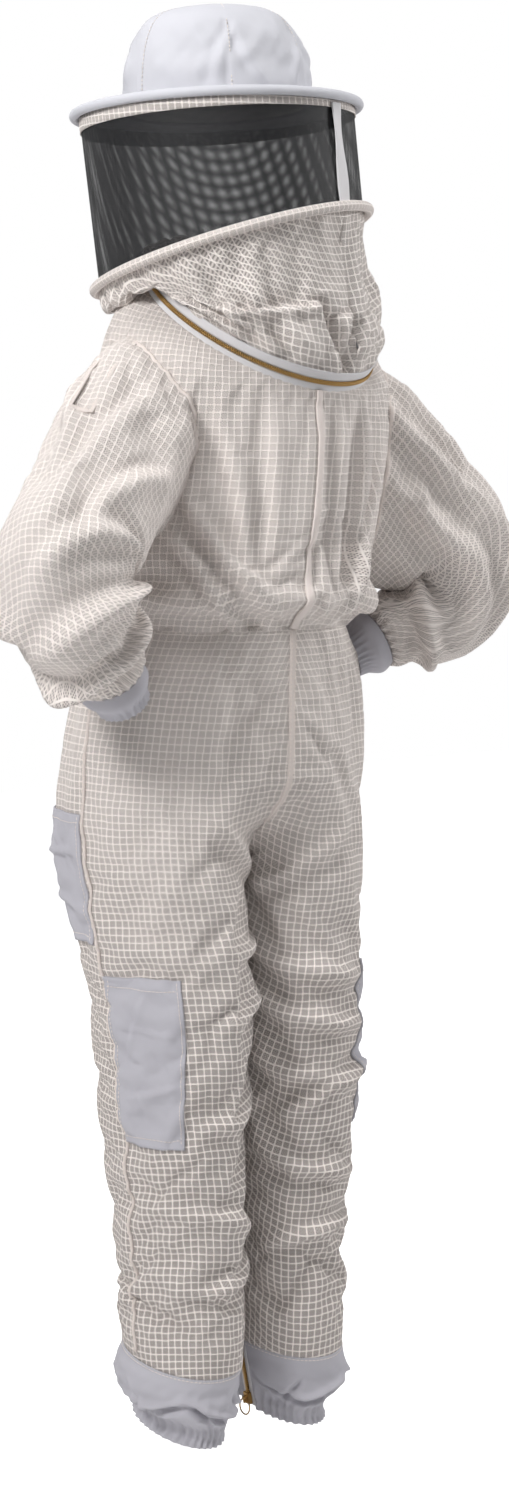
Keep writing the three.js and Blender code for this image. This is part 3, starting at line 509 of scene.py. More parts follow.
def blend_colours(tree, factor, first, second):
    node = tree.nodes.new("ShaderNodeMix")
    node.data_type = "RGBA"
    for place, value in ((0, factor), (6, first), (7, second)):
        if isinstance(value, bpy.types.NodeSocket):
            tree.links.new(value, node.inputs[place])
        else:
            node.inputs[place].default_value = value
    return node.outputs[2]


def make_material(name, hex_colour, roughness, metallic=0.0, pattern=None, sheen=0.0):
    material = bpy.data.materials.new(name)
    material.use_nodes = True
    tree = material.node_tree
    shader = tree.nodes["Principled BSDF"]
    shader.inputs["Base Color"].default_value = linear(hex_colour)
    shader.inputs["Roughness"].default_value = roughness
    shader.inputs["Metallic"].default_value = metallic
    shader.inputs["Sheen Weight"].default_value = sheen
    if pattern:
        pattern(tree, shader)
    return material


def weave_axes(tree):
    """The two coordinates of a piece's weave, in metres of cloth."""
    node = tree.nodes.new("ShaderNodeUVMap")
    node.uv_map = "weave"
    split = tree.nodes.new("ShaderNodeSeparateXYZ")
    tree.links.new(node.outputs[0], split.inputs[0])
    return split.outputs[0], split.outputs[1], node.outputs[0]


def noise(tree, vector, scale, detail=2.0):
    return add(tree, "ShaderNodeTexNoise", (vector, None, scale, detail))


def from_line(tree, coordinate, pitch, middle=0.0):
    """0 on evenly spaced lines and 1 half way between them."""
    cycles = maths(tree, "MULTIPLY_ADD", coordinate, 1 / pitch, middle)
    part = maths(tree, "FRACT", cycles)
    centred = maths(tree, "ABSOLUTE", maths(tree, "SUBTRACT", part, 0.5))
    return maths(tree, "MULTIPLY_ADD", centred, -2.0, 1.0)


def ramp(tree, value, low, high):
    """0 below low and 1 above high, or the other way round when low is the greater."""
    node = tree.nodes.new("ShaderNodeMapRange")
    node.interpolation_type = "SMOOTHSTEP"
    tree.links.new(value, node.inputs[0])
    first, last = (0.0, 1.0) if low < high else (1.0, 0.0)
    for place, number in ((1, min(low, high)), (2, max(low, high)), (3, first), (4, last)):
        node.inputs[place].default_value = number
    return node.outputs[0]


def bump(tree, shader, height, distance, strength=1.0):
    node = tree.nodes.new("ShaderNodeBump")
    node.inputs["Strength"].default_value = strength
    node.inputs["Distance"].default_value = distance
    tree.links.new(height, node.inputs["Height"])
    tree.links.new(node.outputs[0], shader.inputs["Normal"])


def ventilated(pitch, ridge_hex, cell_hex, hole_shade_hex, hole_shade_share):
    """Three-layer mesh: raised grid lines with rows of small holes in the cells between them."""

    def pattern(tree, shader):
        u, v, uv = weave_axes(tree)
        wobble = maths(tree, "MULTIPLY_ADD", noise(tree, uv, 60.0), 0.0016, -0.0008)
        u2, v2 = maths(tree, "ADD", u, wobble), maths(tree, "ADD", v, wobble)
        lines = [ramp(tree, from_line(tree, c, pitch), 0.28, 0.12) for c in (u2, v2)]
        ridge = maths(tree, "MAXIMUM", *lines)
        third = pitch / 3
        slants = [maths(tree, "ADD", u2, v2), maths(tree, "SUBTRACT", u2, v2)]
        away = [from_line(tree, c, third, 0.5) for c in slants]
        reach = maths(tree, "SQRT", maths(tree, "ADD", *[maths(tree, "POWER", a, 2.0) for a in away]))
        # the holes: small openings, painted dark below as painted shade seen through them
        hole = ramp(tree, reach, 0.66, 0.44)
        flat = maths(tree, "SUBTRACT", 1.0, ridge)
        hole = maths(tree, "MULTIPLY", hole, flat)
        # depth: how much of the holes' painted shade shows, more in some patches than in others
        patches = ramp(tree, noise(tree, uv, 9.0, 3.0), 0.35, 0.65)
        depth = maths(tree, "MULTIPLY_ADD", patches, 0.45, hole_shade_share)
        # painted shade lower down: from about 1.06 m to 0.36 m above the floor the cells darken towards
        # 7b726d and the holes show more painted shade
        place = tree.nodes.new("ShaderNodeSeparateXYZ")
        tree.links.new(tree.nodes.new("ShaderNodeTexCoord").outputs["Object"], place.inputs[0])
        low_painted_shade = ramp(tree, place.outputs["Z"], -0.3, -1.0)
        depth = maths(tree, "MINIMUM", maths(tree, "MULTIPLY_ADD", low_painted_shade, 0.4, depth), 1.0)
        cell = blend_colours(tree, maths(tree, "MULTIPLY", low_painted_shade, 0.42), linear(cell_hex), linear("7b726d"))
        colour = blend_colours(tree, ridge, cell, linear(ridge_hex))
        # painted shade in the holes, in the hole colour
        colour = blend_colours(tree, maths(tree, "MULTIPLY", hole, depth), colour, linear(hole_shade_hex))
        tree.links.new(colour, shader.inputs["Base Color"])
        relief = maths(tree, "SUBTRACT", maths(tree, "MULTIPLY", ridge, 0.8), hole)
        bump(tree, shader, relief, 0.0012, 0.9)

    return pattern


def woven(thread, crease=0.0):
    """Plain cotton: a fine weave, and soft creases if wanted."""

    def pattern(tree, shader):
        u, v, uv = weave_axes(tree)
        weave = maths(tree, "ADD", from_line(tree, u, thread), from_line(tree, v, thread))
        creases = noise(tree, uv, 28.0, 3.0)
        height = maths(tree, "MULTIPLY_ADD", creases, crease * 12, maths(tree, "MULTIPLY", weave, 0.12))
        bump(tree, shader, height, 0.001, 0.6)

    return pattern


def net(pitch, least, most):
    """A fine net: threads along and across, and little between them."""

    def pattern(tree, shader):
        u, v, _ = weave_axes(tree)
        lines = [ramp(tree, from_line(tree, c, pitch), 0.44, 0.34) for c in (u, v)]
        denser = maths(tree, "MAXIMUM", *lines)
        tree.links.new(maths(tree, "MULTIPLY_ADD", denser, most - least, least), shader.inputs["Alpha"])

    return pattern


def build_materials():
    """Each starts from the real material; the comment names it and its finish."""
    return {
        # polyester spacer mesh, dull off-white, with painted shade in its holes that deepens lower down
        "mesh": make_material(
            "ventilated mesh", "d8cfca", 0.9, pattern=ventilated(0.0083, "eae2dd", "ddd4cf", "4f4743", 0.45)
        ),
        # the same cloth over nothing, so its holes look darker: deeper painted shade in its cells and holes
        "mesh_deeper_painted_shade": make_material(
            "ventilated mesh, deeper painted shade", "d8cfca", 0.9,
            pattern=ventilated(0.0083, "efe8e3", "d3cac5", "332d2a", 0.62),
        ),
        # bleached cotton, matt
        "cotton": make_material("white cotton", "b0aeb5", 0.85, pattern=woven(0.0012, 0.05)),
        # stiffened cotton of the hat, matt
        "hat": make_material("hat cotton", "c3c3c9", 0.8, pattern=woven(0.0009, 0.02)),
        # woven cotton tape, matt
        "tape": make_material("cotton tape", "cfcdcf", 0.8, pattern=woven(0.0014, 0.03)),
        # tape cut from the same mesh as the suit, matt
        "seam": make_material("seam tape", "d9cfca", 0.9, pattern=woven(0.0016, 0.05)),
        # black polyester net, dull
        "veil": make_material("veil net", "17171a", 0.7, pattern=net(0.0012, 0.12, 0.9)),
        # cast brass, satin
        "brass": make_material("brass", "b08d57", 0.35, metallic=1.0),
        # drawn steel wire, bright
        "steel": make_material("steel wire", "c4c6c9", 0.3, metallic=1.0),
        # knitted elastic, matt
        "elastic": make_material("elastic", "eeece8", 0.85, pattern=woven(0.0022, 0.0)),
        # cotton thread, matt
        "thread": make_material("sewing thread", "e9dfd6", 0.8),
        # matt studio floor
        "floor": make_material("studio floor", "f4f4f4", 0.9),
    }


M = {}

# ---- Small hard pieces, made with Blender's own tools ----


def finish_primitive(name, matrix, material, body, nodes=()):
    """Names the active new piece and places it inside its own mesh."""
    piece = bpy.context.object
    piece.name = name
    piece.data.name = name
    piece.data.transform(matrix)
    piece.matrix_world = Matrix.Identity(4)
    bpy.ops.object.shade_smooth()
    return settle(piece, material, body, nodes)


def deselect():
    bpy.ops.object.select_all(action="DESELECT")


def torus(name, circle, major, minor, material, body, nodes, lift=0.0):
    deselect()
    bpy.ops.mesh.primitive_torus_add(
        major_radius=major / 1000, minor_radius=minor / 1000, major_segments=160, minor_segments=20
    )
    layer = bpy.context.object.data.uv_layers
    while layer:
        layer.remove(layer[0])
    weave = layer.new(name="weave")
    mesh = bpy.context.object.data
    for loop, spot in zip(mesh.loops, weave.data):
        x, y, z = mesh.vertices[loop.vertex_index].co
        turn, roll = math.atan2(y, x), math.atan2(z, math.hypot(x, y) - major / 1000)
        spot.uv = (turn * major / 1000, roll * minor / 1000)
    matrix = circle.matrix() @ Matrix.Translation((0, 0, lift / 1000))
    return finish_primitive(name, matrix, material, body, nodes)


def teeth(name, size, matrix, copies, material, body, step=None, turn=None, shift=0.0):
    """A row of zip teeth: one small block, repeated along a line or round a circle."""
    deselect()
    bpy.ops.mesh.primitive_cube_add(size=1)
    tooth = bpy.context.object
    tooth.scale = size
    bpy.ops.object.transform_apply(location=False, rotation=False, scale=True)
    tooth.data.transform(Matrix.Translation((0, shift, 0)))
    bevel = tooth.modifiers.new("bevel", "BEVEL")
    bevel.width = min(size) * 0.2
    bevel.segments = 1
    bpy.ops.object.modifier_apply(modifier="bevel")
    rows = tooth.modifiers.new("row", "ARRAY")
    rows.count = copies
    rows.use_relative_offset = False
    if turn:
        deselect()
        bpy.ops.object.empty_add()
        pivot = bpy.context.object
        pivot.rotation_euler.z = turn
        bpy.context.view_layer.objects.active = tooth
        rows.use_object_offset = True
        rows.offset_object = pivot
    else:
        rows.use_constant_offset = True
        rows.constant_offset_displace = step
    bpy.context.view_layer.update()
    tooth.select_set(True)
    bpy.ops.object.modifier_apply(modifier="row")
    if turn:
        bpy.data.objects.remove(pivot)
    return finish_primitive(name, matrix, material, body, ())


def stitches(name, line, normals, body, long=3.2, gap=1.8):
    """A row of thread dashes lying on a line of points on the cloth, in millimetres."""
    line, normals = np.asarray(line, float), np.asarray(normals, float)
    steps = np.linalg.norm(np.diff(line, axis=0), axis=-1)
    reach = np.concatenate([[0], np.cumsum(steps)])
    starts = np.arange(1.0, reach[-1] - long - 1, long + gap)
    vertices, faces = [], []
    for start in starts:
        ends = np.array([start, start + long / 2, start + long])
        centre = np.stack([np.interp(ends, reach, line[:, k]) for k in range(3)], -1)
        out = np.stack([np.interp(ends, reach, normals[:, k]) for k in range(3)], -1)
        side = unit(np.cross(centre[2] - centre[0], out[1])) * 0.45
        centre = centre + out * np.array([[0.0], [0.55], [0.0]])
        base = len(vertices)
        for k in range(3):
            vertices += [centre[k] - side, centre[k] + side, centre[k] - out[k] * 0.6]
        for k in range(2):
            a, b = base + 3 * k, base + 3 * k + 3
            faces += [(a, b, b + 1, a + 1), (a + 1, b + 1, b + 2, a + 2), (a + 2, b + 2, b, a)]
        faces += [(base, base + 1, base + 2), (base + 8, base + 7, base + 6)]
    mesh = bpy.data.meshes.new(name)
    mesh.from_pydata(metres(vertices).tolist(), [], faces)
    mesh.polygons.foreach_set("use_smooth", np.ones(len(mesh.polygons), bool))
    piece = bpy.data.objects.new(name, mesh)
    bpy.context.collection.objects.link(piece)
    return settle(piece, M["thread"], body, ())


# ---- Hat and veil ----

CROWN_FULLNESS = 0.42


def build_hat():
    share, angle = np.meshgrid(np.linspace(0, 1, 60), np.linspace(0, 2 * math.pi, 181), indexing="ij")
    # rows run closer together where the crown turns over
    up = np.sin(share * math.pi / 2) ** 0.9
    out = np.clip(np.cos(share * math.pi / 2), 0, 1) ** CROWN_FULLNESS
    seam = np.abs(((angle / (math.pi / 3)) % 1) - 0.5) * 2
    valley = -2.2 * np.exp(-(((1 - seam) * CROWN_BASE * 0.52) / 2.2) ** 2)
    around, rise = angle * 100, up * 120
    dents = ripples(around, rise, 5, 80, 6.5) + ripples(around, rise, 6, 34, 2.2)
    for turn, side in ((225, 1), (262, -1), (310, 1), (150, -1), (90, 1), (400, -1), (470, 1), (190, 1)):
        dents += fold(around, rise, (turn, 8), (turn + 30 * side, 90), 6, 3.6, 6)
    dents *= np.sin(math.pi * np.clip(up * 0.93 + 0.04, 0, 1)) ** 0.6
    blend = smoothstep(angle, 0, 0.5) * (1 - smoothstep(angle, 2 * math.pi - 0.5, 2 * math.pi))
    radius = (CROWN_BASE + dents * blend + valley * (1 - share)) * np.maximum(out, 0.002)
    local = np.stack([radius * np.cos(angle), radius * np.sin(angle), 1.6 + CROWN_HEIGHT * up], -1)
    points = BRIM.points(local)
    uv = np.stack([angle * CROWN_BASE, up * 160], -1)
    gores = [f"crown_gore_{i}" for i in range(1, 7)]
    crown = cloth("crown", points, uv, 1.5, M["hat"], "hood", gores, closed=True)
    declare(points)
    for i in range(6):
        turn = i * math.pi / 3 + 0.04
        line = np.linspace(0, 0.86, 40)
        size = (CROWN_BASE + 0.4) * np.cos(line * math.pi / 2) ** CROWN_FULLNESS
        height = 1.6 + CROWN_HEIGHT * np.sin(line * math.pi / 2) ** 0.9
        here = BRIM.points(np.stack([size * math.cos(turn), size * math.sin(turn), height], -1))
        normals = unit_rows(here - BRIM.points([0, 0, 20]))
        stitches(f"crown_stitches_{i + 1}", here, normals, "hood")
    build_brim()


def unit_rows(vectors):
    return vectors / np.linalg.norm(vectors, axis=-1, keepdims=True)


def build_brim():
    radius, angle = np.meshgrid(
        np.linspace(BRIM_INNER, 164, 14), np.linspace(0, 2 * math.pi, 181), indexing="ij"
    )
    rise = 0.8 * np.sin(3 * angle + 0.6) * (radius - BRIM_INNER) / 60 - 0.5
    local = np.stack([radius * np.cos(angle), radius * np.sin(angle), rise + 1.3], -1)
    points = BRIM.points(local)
    uv = np.stack([angle * 140, radius], -1)
    brim = cloth(
        "brim_cloth", points, uv, 2.2, M["hat"], "hood", ["brim"], flip=True, closed=True
    )
    declare(points)
    for k, size in enumerate((BRIM_INNER + 11, 140, 158)):
        turn = np.linspace(0, 2 * math.pi, 240)
        line = BRIM.points(np.stack([size * np.cos(turn), size * np.sin(turn), 0 * turn + 1.4], -1))
        up = np.repeat(BRIM.basis[:, 2][None], 240, 0)
        stitches(f"brim_stitches_{k + 1}", line, up, "hood")
    torus("brim_edge", BRIM, HOOP_RADIUS, 5.7, M["hat"], "hood", ["brim_edge_piping"])


def veil_rows(radius, shares, bearings):
    top = BRIM.circle(radius, bearings, -1.6)
    foot = LOWER_HOOP.circle(radius, bearings, 0.5)
    return foot[None] + (top - foot)[None] * np.asarray(shares)[:, None, None]


def build_veil():
    bearings = np.linspace(0, 2 * math.pi, 241)
    points = veil_rows(VEIL_RADIUS, np.linspace(0, 1, 24), bearings)
    uv = np.stack(np.broadcast_arrays(bearings[None] * VEIL_RADIUS, points[..., 2]), -1)
    veil = cloth("veil", points, uv, 0.4, M["veil"], "hood", ["veil_mesh"], closed=True)
    declare(points)
    low, high = 0.985 - 13 / 163, 0.985
    band = veil_rows(VEIL_RADIUS + 1.6, np.linspace(low, high, 4), bearings)
    uv = np.stack(np.broadcast_arrays(bearings[None] * VEIL_RADIUS, band[..., 2]), -1)
    piece = cloth(
        "veil_band", band, uv, 1.2, M["mesh_deeper_painted_shade"], "hood", ["veil_top_band"], closed=True
    )
    declare(band)
    half = 9 / VEIL_RADIUS
    middle = math.radians(109)
    across = np.linspace(middle - half, middle + half, 7)
    shares = np.linspace(0.03, 0.95, 40)
    tape = veil_rows(VEIL_RADIUS + 2.2, shares, across)
    sway = 1.6 * np.sin(shares * 7.0)[:, None] * np.linspace(-1, 1, 7)[None]
    tape = tape + np.stack([np.cos(across), np.sin(across), 0 * across], -1)[None] * (sway + 1.6)[..., None]
    uv = np.stack(np.broadcast_arrays(across[None] * VEIL_RADIUS, tape[..., 2]), -1)
    piece = cloth("veil_tape", tape, uv, 1.2, M["tape"], "hood", ["veil_seam_tape"])
    declare(tape)
    torus(
        "lower_hoop", LOWER_HOOP, HOOP_RADIUS, 6.2, M["mesh"], "hood", ["lower_hoop_piping"],
    )


# each fold: where it starts and ends, how wide and how high it is, and how far it bows
SKIRT_FOLDS = [
    ((103, 4), (92, 96), 3.6, -11),
    ((103, 4), (110, 80), 3.2, -9),
    ((84, 12), (52, 120), 6, 9),
    ((70, 8), (30, 80), 5, 8),
    ((52, 6), (14, 60), 5, 8),
    ((40, 60), (90, 90), 7, 7),
    ((135, 20), (150, 120), 7, 9),
]


def build_skirt():
    """The mesh skirt under the veil, in two parts with a seam at the back right."""
    for name, start, end in (("left", -90, 109), ("right", 109, 270)):
        share, bearing = np.meshgrid(
            np.linspace(0, 1, 56), np.radians(np.linspace(start, end, 150)), indexing="ij"
        )
        points = skirt_surface(share, bearing)
        u, v = arc_lengths(points)
        turn = np.degrees(bearing) % 360
        along, up = bearing * 150, share * 190
        normal = grid_normals(points)
        middle = np.sin(share * math.pi)
        lift = (ripples(along, up, 11, 70, 8.0, (0.7, 1.6)) + ripples(along, up, 12, 30, 1.6)) * middle
        lift += 3.2 * np.sin(along / 7.5) * np.exp(-share / 0.14) * smoothstep(share, 0, 0.04)
        lift += 2.6 * np.sin(along / 6.5 + 1) * np.exp(-(1 - share) / 0.12) * smoothstep(1 - share, 0, 0.05)
        lift += 10 * np.exp(-(((turn - 120) / 15) ** 2) - ((share - 0.36) / 0.26) ** 2)
        for row in SKIRT_FOLDS:
            lift += fold(turn, up, *row)
        # flatter at the front, where the zip's pull ring swings
        lift *= 1 - 0.95 * np.exp(-(((turn - 270) / 18) ** 2))
        lift -= 2.5 * np.exp(-(((turn - 270) / 9) ** 2)) * smoothstep(middle, 0, 0.4)
        points = points + normal * lift[..., None]
        from_left = np.degrees(bearing) + 28
        points[..., 2] -= 24 * np.exp(-((from_left / 48) ** 2)) * np.sin(share**1.6 * math.pi)
        pins = 1 - FREEDOM * smoothstep(middle, 0, 0.5)
        points = drape(points, pins, 0.035, seed=12)
        uv = np.stack([u, v], -1)
        piece = cloth(
            f"skirt_{name}", points, uv, MESH_CLOTH, M["mesh_deeper_painted_shade"], "hood", [f"hood_skirt_{name}"],
        )
        declare(points)


def build_hood_zip():
    """Tape and teeth of both halves of the zip round the neck."""
    turn = np.radians(np.linspace(-86, 266, 220))
    for name, way, body in (("upper", 1, "hood"), ("lower", -1, "suit")):
        lift = np.linspace(2.2, ZIP_TAPE + 5, 5) * way
        wide, around = np.meshgrid(lift, turn, indexing="ij")
        swell = np.abs(wide) * 0.12
        points = NECK.circle(NECK_RADIUS + 1 + swell, around, wide)
        uv = np.stack([around * NECK_RADIUS, wide], -1)
        piece = cloth(
            f"zip_tape_{name}", points, uv, 1.3, M["tape"], body, [f"hood_zip_{name}"],
            flip=way < 0,
        )
        declare(points)
        step = math.radians(1.1)
        start = Matrix.Rotation(math.radians(-86 - 12) + (step / 2 if way < 0 else 0), 4, "Z")
        placed = NECK.matrix() @ start @ Matrix.Rotation(-math.pi / 2, 4, "Z")
        placed = placed @ Matrix.Translation((0, 0, 0.0011 * way))
        teeth(
            f"zip_teeth_{name}", (0.0016, 0.0034, 0.0032), placed, 320, M["brass"], body,
            turn=step, shift=(NECK_RADIUS + 1.6) / 1000,
        )


# ---- Bodice, sleeves and trousers ----


def seam_strip(name, points, normals, across, width, body, nodes, material="seam"):
    """A raised tape along a line of points on the cloth, stitched down both sides."""
    rows = []
    for shift, lift in ((-1, 0.2), (-0.7, 1.5), (0, 1.9), (0.7, 1.5), (1, 0.2)):
        rows.append(points + across * shift * width / 2 + normals * lift)
    grid = np.stack(rows, 1)
    length = arc_lengths(grid)[1]
    uv = np.stack([np.linspace(0, width, 5)[None] + 0 * length, length], -1)
    piece = cloth(name, grid, uv, 1.2, M[material], body, nodes)
    declare(grid)
    for side in (-0.62, 0.62):
        line = points + across * side * width / 2 + normals * 2.0
        stitches(f"{name}_stitches_{'left' if side > 0 else 'right'}", line, normals, body)
    return piece


BODICE_CLOTH = []


# each fold: where it starts and ends, how wide and how high it is, and how far it bows
BODICE_FOLDS = [
    ((165, 190), (30, 24), 12, 13, 12),
    ((175, 140), (70, 14), 9, 12, 8),
    ((120, 262), (78, 50), 11, 9, -10),
    ((62, 300), (46, 110), 11, 6),
    ((-34, 300), (-44, 50), 10, 8),
    ((-84, 300), (-74, 30), 10, 13),
    ((-130, 230), (-56, 16), 10, 11),
    ((-16, 120), (-30, 10), 8, 7),
]


def build_bodice():
    heights = np.linspace(WAIST - 4, NECK_HEIGHT - ZIP_TAPE, 96)
    angles = np.radians(np.linspace(-90, 270, 289))
    height, angle = np.meshgrid(heights, angles, indexing="ij")
    points = bodice_surface(height, angle)
    u, v = arc_lengths(points)
    back = int(np.argmin(np.abs(angles - math.pi / 2)))
    around = u - u[:, back : back + 1]
    up = height - heights[0]
    normal = grid_normals(points, closed=True)
    fade = smoothstep(up, 0, 18) * (1 - smoothstep(height, NECK_HEIGHT - 60, NECK_HEIGHT - ZIP_TAPE))
    lift = ripples(around, up, 21, 150, 6.5, (0.8, 1.5)) * fade + 1.2
    # cloth blouses over the waist elastic in small gathers
    lift += 2.6 * np.sin(around / 9.0 + np.sin(around / 31.0) * 2) * np.exp(-up / 32) * smoothstep(up, 0, 6)
    lift += 8.0 * np.exp(-(((up - 34) / 20) ** 2)) + 5 * np.exp(-up / 40)
    # drag lines, with the distance from the centre of the back growing towards the wearer's right
    left = -around
    for row in BODICE_FOLDS:
        lift += fold(left, up, *row)
    lift += 20 * np.exp(-(((left + 150) / 42) ** 2) - ((up - 38) / 26) ** 2)
    from_front = np.minimum(angle + math.pi / 2, 1.5 * math.pi - angle)
    points = points + normal * (lift * smoothstep(from_front, 0, 0.15))[..., None]
    loose = smoothstep(up, 0, 40) * smoothstep(heights[-1] - height, 0, 50) * smoothstep(from_front, 0, 0.3)
    points = drape(points, 1 - FREEDOM * loose, 0.035, closed=True, seed=22)
    normal = grid_normals(points, closed=True)
    BODICE_CLOTH[:] = [points[::2, ::2].reshape(-1, 3), normal[::2, ::2].reshape(-1, 3)]
    uv = np.stack([around, v], -1)
    quarter = len(angles) // 4
    cuts = {"front_bodice_left": (0, quarter), "back_bodice_left": (quarter, 2 * quarter)}
    cuts["back_bodice_right"] = (2 * quarter, 3 * quarter)
    cuts["front_bodice_right"] = (3 * quarter, 4 * quarter)
    for node, (a, b) in cuts.items():
        grid, chart = points[:, a : b + 1], uv[:, a : b + 1]
        piece = cloth(f"cloth_{node}", grid, chart, MESH_CLOTH, M["mesh"], "suit", [node])
        declare(grid)
    column = 2 * quarter
    across = unit_rows(points[:, column - 1] - points[:, column + 1])
    seam_strip(
        "back_seam", points[1:-1, column], normal[1:-1, column], across[1:-1], 9, "suit",
        ["back_seam_binding"],
    )


# each fold: where it starts and ends, how wide and how high it is, and how far it bows
LEFT_SLEEVE_FOLDS = [
    ((70, 90), (20, 280), 15, 11, 14),
    ((-50, 60), (0, 240), 15, 9, -12),
    ((130, 150), (60, 270), 12, 11, 10),
    ((150, 260), (0, 300), 10, 13, 10),
    ((170, 320), (-20, 345), 9, 15, 8),
    ((-170, 300), (-20, 330), 9, 12, 8),
    ((140, 380), (-60, 405), 10, 15, 8),
    ((-150, 380), (20, 395), 9, 9, 6),
    ((120, 440), (-80, 455), 9, 12, 5),
]
RIGHT_SLEEVE_FOLDS = [
    ((-90, 60), (-10, 330), 15, 13, 18),
    ((-30, 40), (30, 300), 17, 10, 14),
    ((-150, 120), (-60, 330), 14, 12, 12),
    ((60, 80), (50, 300), 15, 8, 12),
    ((-190, 325), (-10, 360), 11, 17, 10),
    ((-190, 375), (0, 405), 10, 18, 8),
    ((-170, 420), (20, 445), 9, 16, 6),
    ((-150, 470), (40, 485), 8, 12, 5),
    ((160, 400), (40, 430), 9, 10, 6),
]


def sleeve_folds(side, distance, around):
    """The folds of each sleeve: distance along it from the shoulder, and round it from the outside."""
    seed = 31 if side > 0 else 35
    lift = ripples(distance, around, seed, 110, 8.0, (1.3, 0.8))
    lift = lift + ripples(distance, around, seed + 1, 44, 2.0)
    if side > 0:
        for row in LEFT_SLEEVE_FOLDS:
            lift += fold(around, distance, *row)
        return lift
    for row in RIGHT_SLEEVE_FOLDS:
        lift += fold(around, distance, *row)
    return lift


def build_sleeve(name, side, sleeve):
    distance, angle = np.meshgrid(
        np.linspace(0, sleeve.length, 128), np.linspace(-math.pi, math.pi, 121), indexing="ij"
    )
    points = sleeve.surface(distance, angle)
    u, v = arc_lengths(points)
    around = u - u[:, 60:61]
    normal = grid_normals(points, closed=True)
    normal = -normal if np.sum(normal * (points - sleeve.frame(distance)[0])) < 0 else normal
    share = distance / sleeve.length
    fade = smoothstep(1 - share, 0, 0.06)
    seam = smoothstep(math.pi - np.abs(angle), 0, 0.5)
    lift = sleeve_folds(side, distance, around) * fade * seam
    lift += 1.8 * np.sin(angle * 21) * smoothstep(share, 0.93, 1)
    # the open end is tucked in under the bodice
    lift -= 14 * (1 - smoothstep(distance, 0, 48))
    points = points + normal * lift[..., None]
    loose = smoothstep(share, 0.04, 0.2) * smoothstep(1 - share, 0, 0.1)
    points = drape(points, 1 - FREEDOM * loose, 0.05, closed=True, seed=33 + side)
    uv = np.stack([around, v], -1)
    flip = bool(np.sum(grid_normals(points, True) * normal) < 0)
    piece = cloth(
        f"cloth_{name}_sleeve", points, uv, MESH_CLOTH, M["mesh"], "suit", [f"{name}_sleeve"],
        flip=flip, closed=True,
    )
    declare(points)
    build_armhole(name, points, normal)
    build_cuff(name, sleeve, flip)


def build_armhole(name, points, normals):
    """The seam where the sleeve leaves the bodice, found from where the two cloths meet."""
    tree = KDTree(len(BODICE_CLOTH[0]))
    for index, spot in enumerate(BODICE_CLOTH[0]):
        tree.insert(spot, index)
    tree.balance()
    columns = points.shape[1]
    leaves = np.zeros(columns)
    for column in range(columns):
        outside = np.zeros(len(points), bool)
        for row, spot in enumerate(points[:, column]):
            near, index, _ = tree.find(spot)
            outside[row] = (spot - np.array(near)) @ BODICE_CLOTH[1][index] > 0.5
        leaves[column] = len(points) - 1 - np.argmax(~outside[::-1])
    kernel = np.ones(7) / 7
    leaves = np.convolve(np.concatenate([leaves[-4:-1], leaves, leaves[1:4]]), kernel, "valid")
    row, column = leaves + 1.0, np.arange(columns) * 1.0
    line = sample(points, row, column)
    out = unit_rows(sample(normals, row, column))
    along = np.gradient(line, axis=0)
    ribbon(f"{name}_armhole_seam", line, out, np.cross(out, along), 7.0, 2.2)
    stitches(f"{name}_armhole_thread", line + out * 2.1, out, "suit")


def build_cuff(name, sleeve, flip):
    drop, angle = np.meshgrid(np.linspace(0.3, 42, 30), np.linspace(-math.pi, math.pi, 121), indexing="ij")
    half_in, half_across = smooth(CUFF, drop)
    gathers = 1.3 * np.sin(angle * 26 + np.sin(angle * 5)) * smoothstep(drop, 16, 32)
    seam = smoothstep(math.pi - np.abs(angle), 0, 0.5)
    gathers += ripples(angle * 38, drop, 41, 34, 2.0) * np.sin(drop / 42 * math.pi) * seam
    centre, outward, along = sleeve.frame(np.full_like(drop, sleeve.length))
    points = centre + along * drop[..., None]
    points = points + ((half_in + gathers) * np.cos(angle))[..., None] * outward
    points = points + ((half_across + gathers) * np.sin(angle))[..., None] * sleeve.across
    uv = np.stack([angle * 36, drop], -1)
    piece = cloth(
        f"cloth_{name}_cuff", points, uv, 1.4, M["cotton"], "suit", [f"{name}_cuff"],
        flip=flip, closed=True,
    )
    declare(points)


def build_elastics():
    """The knitted bands inside the waist, the cuffs and the gaiters, and the band inside the hat."""
    height, angle = np.meshgrid(
        np.linspace(WAIST + 1, WAIST + 27, 12), np.radians(np.linspace(22, 158, 90)), indexing="ij"
    )
    base = bodice_surface(height, angle)
    normal = grid_normals(base)
    elastic_band("waist_elastic", base - normal * 4.2, height, "suit")
    for name, sleeve in (("left", LEFT_SLEEVE), ("right", RIGHT_SLEEVE)):
        drop, angle = np.meshgrid(np.linspace(30.5, 41, 8), np.linspace(-math.pi, math.pi, 91), indexing="ij")
        half_in, half_across = smooth(CUFF, drop)
        centre, outward, along = sleeve.frame(np.full_like(drop, sleeve.length))
        points = centre + along * drop[..., None] + ((half_in - 3.4) * np.cos(angle))[..., None] * outward
        points = points + ((half_across - 3.4) * np.sin(angle))[..., None] * sleeve.across
        elastic_band(f"{name}_wrist_elastic", points, drop, "suit", closed=True)
    for name, side in (("left", 1), ("right", -1)):
        drop, angle = np.meshgrid(
            np.linspace(77.5, 88.5, 8), np.linspace(math.pi + 0.2, 3 * math.pi - 0.2, 120), indexing="ij"
        )
        points = gaiter_surface(side, drop, angle)
        normal = grid_normals(points)
        normal *= 1 if np.sum(normal * (points - [side * 76, 34, 0])) > 0 else -1
        elastic_band(f"{name}_ankle_elastic", points - normal * 6.2, drop, "suit", flip=side > 0)
    height, angle = np.meshgrid(np.linspace(1.8, 31, 10), np.linspace(0, 2 * math.pi, 121), indexing="ij")
    local = np.stack([102.4 * np.cos(angle), 102.4 * np.sin(angle), height], -1)
    elastic_band("sweatband", BRIM.points(local), height, "hood", closed=True)


